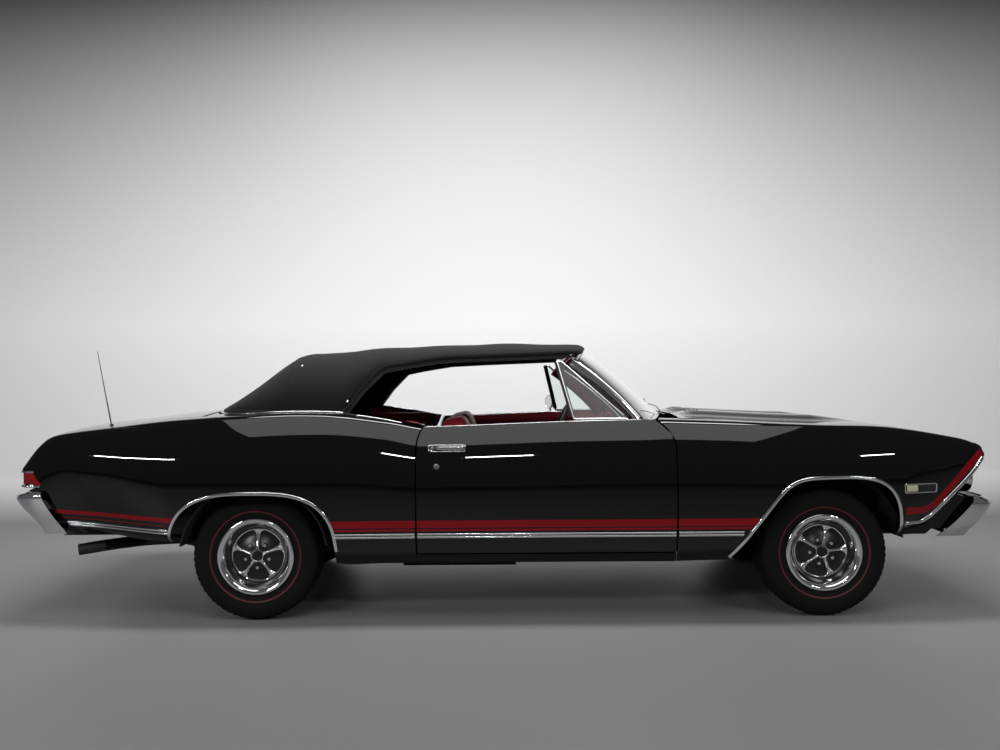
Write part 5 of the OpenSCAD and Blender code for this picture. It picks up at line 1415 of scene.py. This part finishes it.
# Plain finishes of the solids; a panel that isn't named is painted
PLAIN = (
    (CHASSIS, "frame cowl rear_axle exhaust front_suspension door_hinges hood_hinges lid_hinges"),
    (CHASSIS, "steering_linkage knuckle_left knuckle_right"),
    (UNDERCOAT, "floor_pan front_wheelhouses rear_wheelhouses"),
    (BLACK_TRIM, "grille top_rails steering_column steering_wheel"),
    (CHROME, "front_bumper rear_bumper windshield_frame antenna mirror"),
    (GLASS, "windshield_glass rear_window vent_window_left vent_window_right"),
    (VINYL, "dashboard seat_left seat_right rear_seat side_trims"),
    (RUBBER, "tyre_front_left tyre_front_right tyre_rear_left tyre_rear_right"),
    (DISH, "wheel_front_left wheel_front_right wheel_rear_left wheel_rear_right"),
    (IRON, "engine radiator"), (STEEL, "fuel_tank"), (CLOTH, "soft_top"), (CLEAR_LENS, "headlamps"),
    (RED_LENS, "tail_lamps"))
FINISH_OF = {name: mat for mat, names in PLAIN for name in names.split()}
for name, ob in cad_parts.items():
    ob.data.materials.clear()
    ob.data.materials.append(FINISH_OF.get(name, PAINT))

# Camera where the photograph was taken: place in metres, pitch and roll in degrees, focal length in pixels
CAMERA_PLACE, PITCH, ROLL = (-0.018, -5.7, 1.190), 0.354, 0.42
SENSOR, FOCAL_PIXELS, IMAGE_PIXELS = 36.0, 970, 1000
cam = bpy.data.objects.new("camera", bpy.data.cameras.new("camera"))
bpy.context.scene.collection.objects.link(cam)
cam.data.sensor_width = SENSOR
cam.data.lens = SENSOR * FOCAL_PIXELS / IMAGE_PIXELS
cam.data.clip_end = 200
cam.location = CAMERA_PLACE
cam.rotation_euler = (math.radians(90 + PITCH), math.radians(ROLL), 0)
bpy.context.scene.camera = cam

# Floor and wall in one sweep: colours, and the heights in metres between which they change; the upper wall is
# darkened with painted shade
FLOOR_GREY, WALL_PALE, WALL_SHADE = (0.22, 0.22, 0.224, 1), (0.86, 0.86, 0.865, 1), (0.03, 0.03, 0.031, 1)
BEND_HIGH, SHADE_LOW, SHADE_HIGH = 0.35, 1.7, 4.7
WALL_Y, BEND, STAGE_FAR, STAGE_HIGH = 2900.0, 400.0, 30000, 12000


def stage_finish():
    """Colour by height: grey floor up to the bend, pale wall, darkened towards its top by painted shade;
    clear from behind.
    """
    mat = finish("studio_pale", (0.5, 0.5, 0.5), 0.5)
    b = mat.node_tree.nodes["Principled BSDF"]
    at = node(mat, "ShaderNodeTexCoord")
    split = node(mat, "ShaderNodeSeparateXYZ")
    link(mat, at.outputs["Object"], split.inputs[0])
    colour = None
    # the second blend paints shade on the wall, dark towards its top
    for first, last, below, above in ((0.0, BEND_HIGH, FLOOR_GREY, WALL_PALE),
                                      (SHADE_LOW, SHADE_HIGH, None, WALL_SHADE)):
        rise = node(mat, "ShaderNodeMapRange")
        rise.inputs["From Min"].default_value = first
        rise.inputs["From Max"].default_value = last
        link(mat, split.outputs["Z"], rise.inputs["Value"])
        blend = node(mat, "ShaderNodeMix", data_type="RGBA")
        blend.inputs["B"].default_value = above
        if below:
            blend.inputs["A"].default_value = below
        else:
            link(mat, colour, blend.inputs["A"])
        link(mat, rise.outputs[0], blend.inputs["Factor"])
        colour = blend.outputs["Result"]
    link(mat, colour, b.inputs["Base Color"])
    face = node(mat, "ShaderNodeNewGeometry")
    front = node(mat, "ShaderNodeMath", operation="SUBTRACT")
    front.inputs[0].default_value = 1.0
    link(mat, face.outputs["Backfacing"], front.inputs[1])
    link(mat, front.outputs[0], b.inputs["Alpha"])
    return mat


def backdrop():
    """Floor that curves up into a wall behind the car, one profile carried along X."""
    a = np.linspace(0, math.pi / 2, 24)
    turn = np.stack([WALL_Y - BEND + BEND * np.sin(a), BEND - BEND * np.cos(a)], -1)
    prof = np.concatenate([[[-STAGE_FAR, 0]], turn, [[WALL_Y, STAGE_HIGH]]])
    x = np.linspace(-STAGE_FAR, STAGE_FAR, 3)[:, None]
    g = stack(x, prof[None, :, 0], prof[None, :, 1])
    mesh = bpy.data.meshes.new("studio_sweep")
    mesh.from_pydata((g.reshape(-1, 3) * 0.001).tolist(), [], quads(3, len(prof)).tolist())
    mesh.polygons.foreach_set("use_smooth", np.ones(len(mesh.polygons), bool))
    ob = bpy.data.objects.new("studio_sweep", mesh)
    bpy.context.scene.collection.objects.link(ob)
    mesh.materials.append(stage_finish())


backdrop()


def area(name, place, aim, size, power):
    """Soft rectangular lamp at a place in metres, facing a point."""
    lamp = bpy.data.lights.new(name, "AREA")
    lamp.shape = "RECTANGLE"
    lamp.size, lamp.size_y = size
    lamp.energy = power
    ob = bpy.data.objects.new(name, lamp)
    bpy.context.scene.collection.objects.link(ob)
    d = np.array(aim, float) - np.array(place, float)
    flat = math.hypot(d[0], d[1])
    ob.location = place
    ob.rotation_euler = (math.atan2(flat, -d[2]), 0, math.atan2(-d[0], d[1]) if flat > 1e-6 else 0)


# Light: a wash on the wall, a broad panel overhead and three strips that draw lines on the side
STRIPS = ((-7.7, 4.6, 3.4), (-0.2, 5.5, 0.95), (6.95, 5.4, 2.0))
STRIP_POWER, AIR_COLOUR, AIR_STRENGTH = 70, (0.75, 0.76, 0.78, 1), 0.12
area("wall_wash", (0, -0.6, 5.2), (0, 2.9, 1.4), (5, 1.2), 280)
area("overhead", (0, -4.3, 7.0), (0, -4.3, 0), (7.4, 4.4), 170)
for x, z, across in STRIPS:
    area("strip", (x, -8.9, z), (0.4 * x, -0.9, 0.8), (across, 0.12), STRIP_POWER * across)
world = bpy.data.worlds.new("studio_air")
bpy.context.scene.world = world
world.use_nodes = True
air = world.node_tree.nodes["Background"]
air.inputs["Color"].default_value = AIR_COLOUR
air.inputs["Strength"].default_value = AIR_STRENGTH

bpy.context.scene.view_settings.view_transform = "Standard"
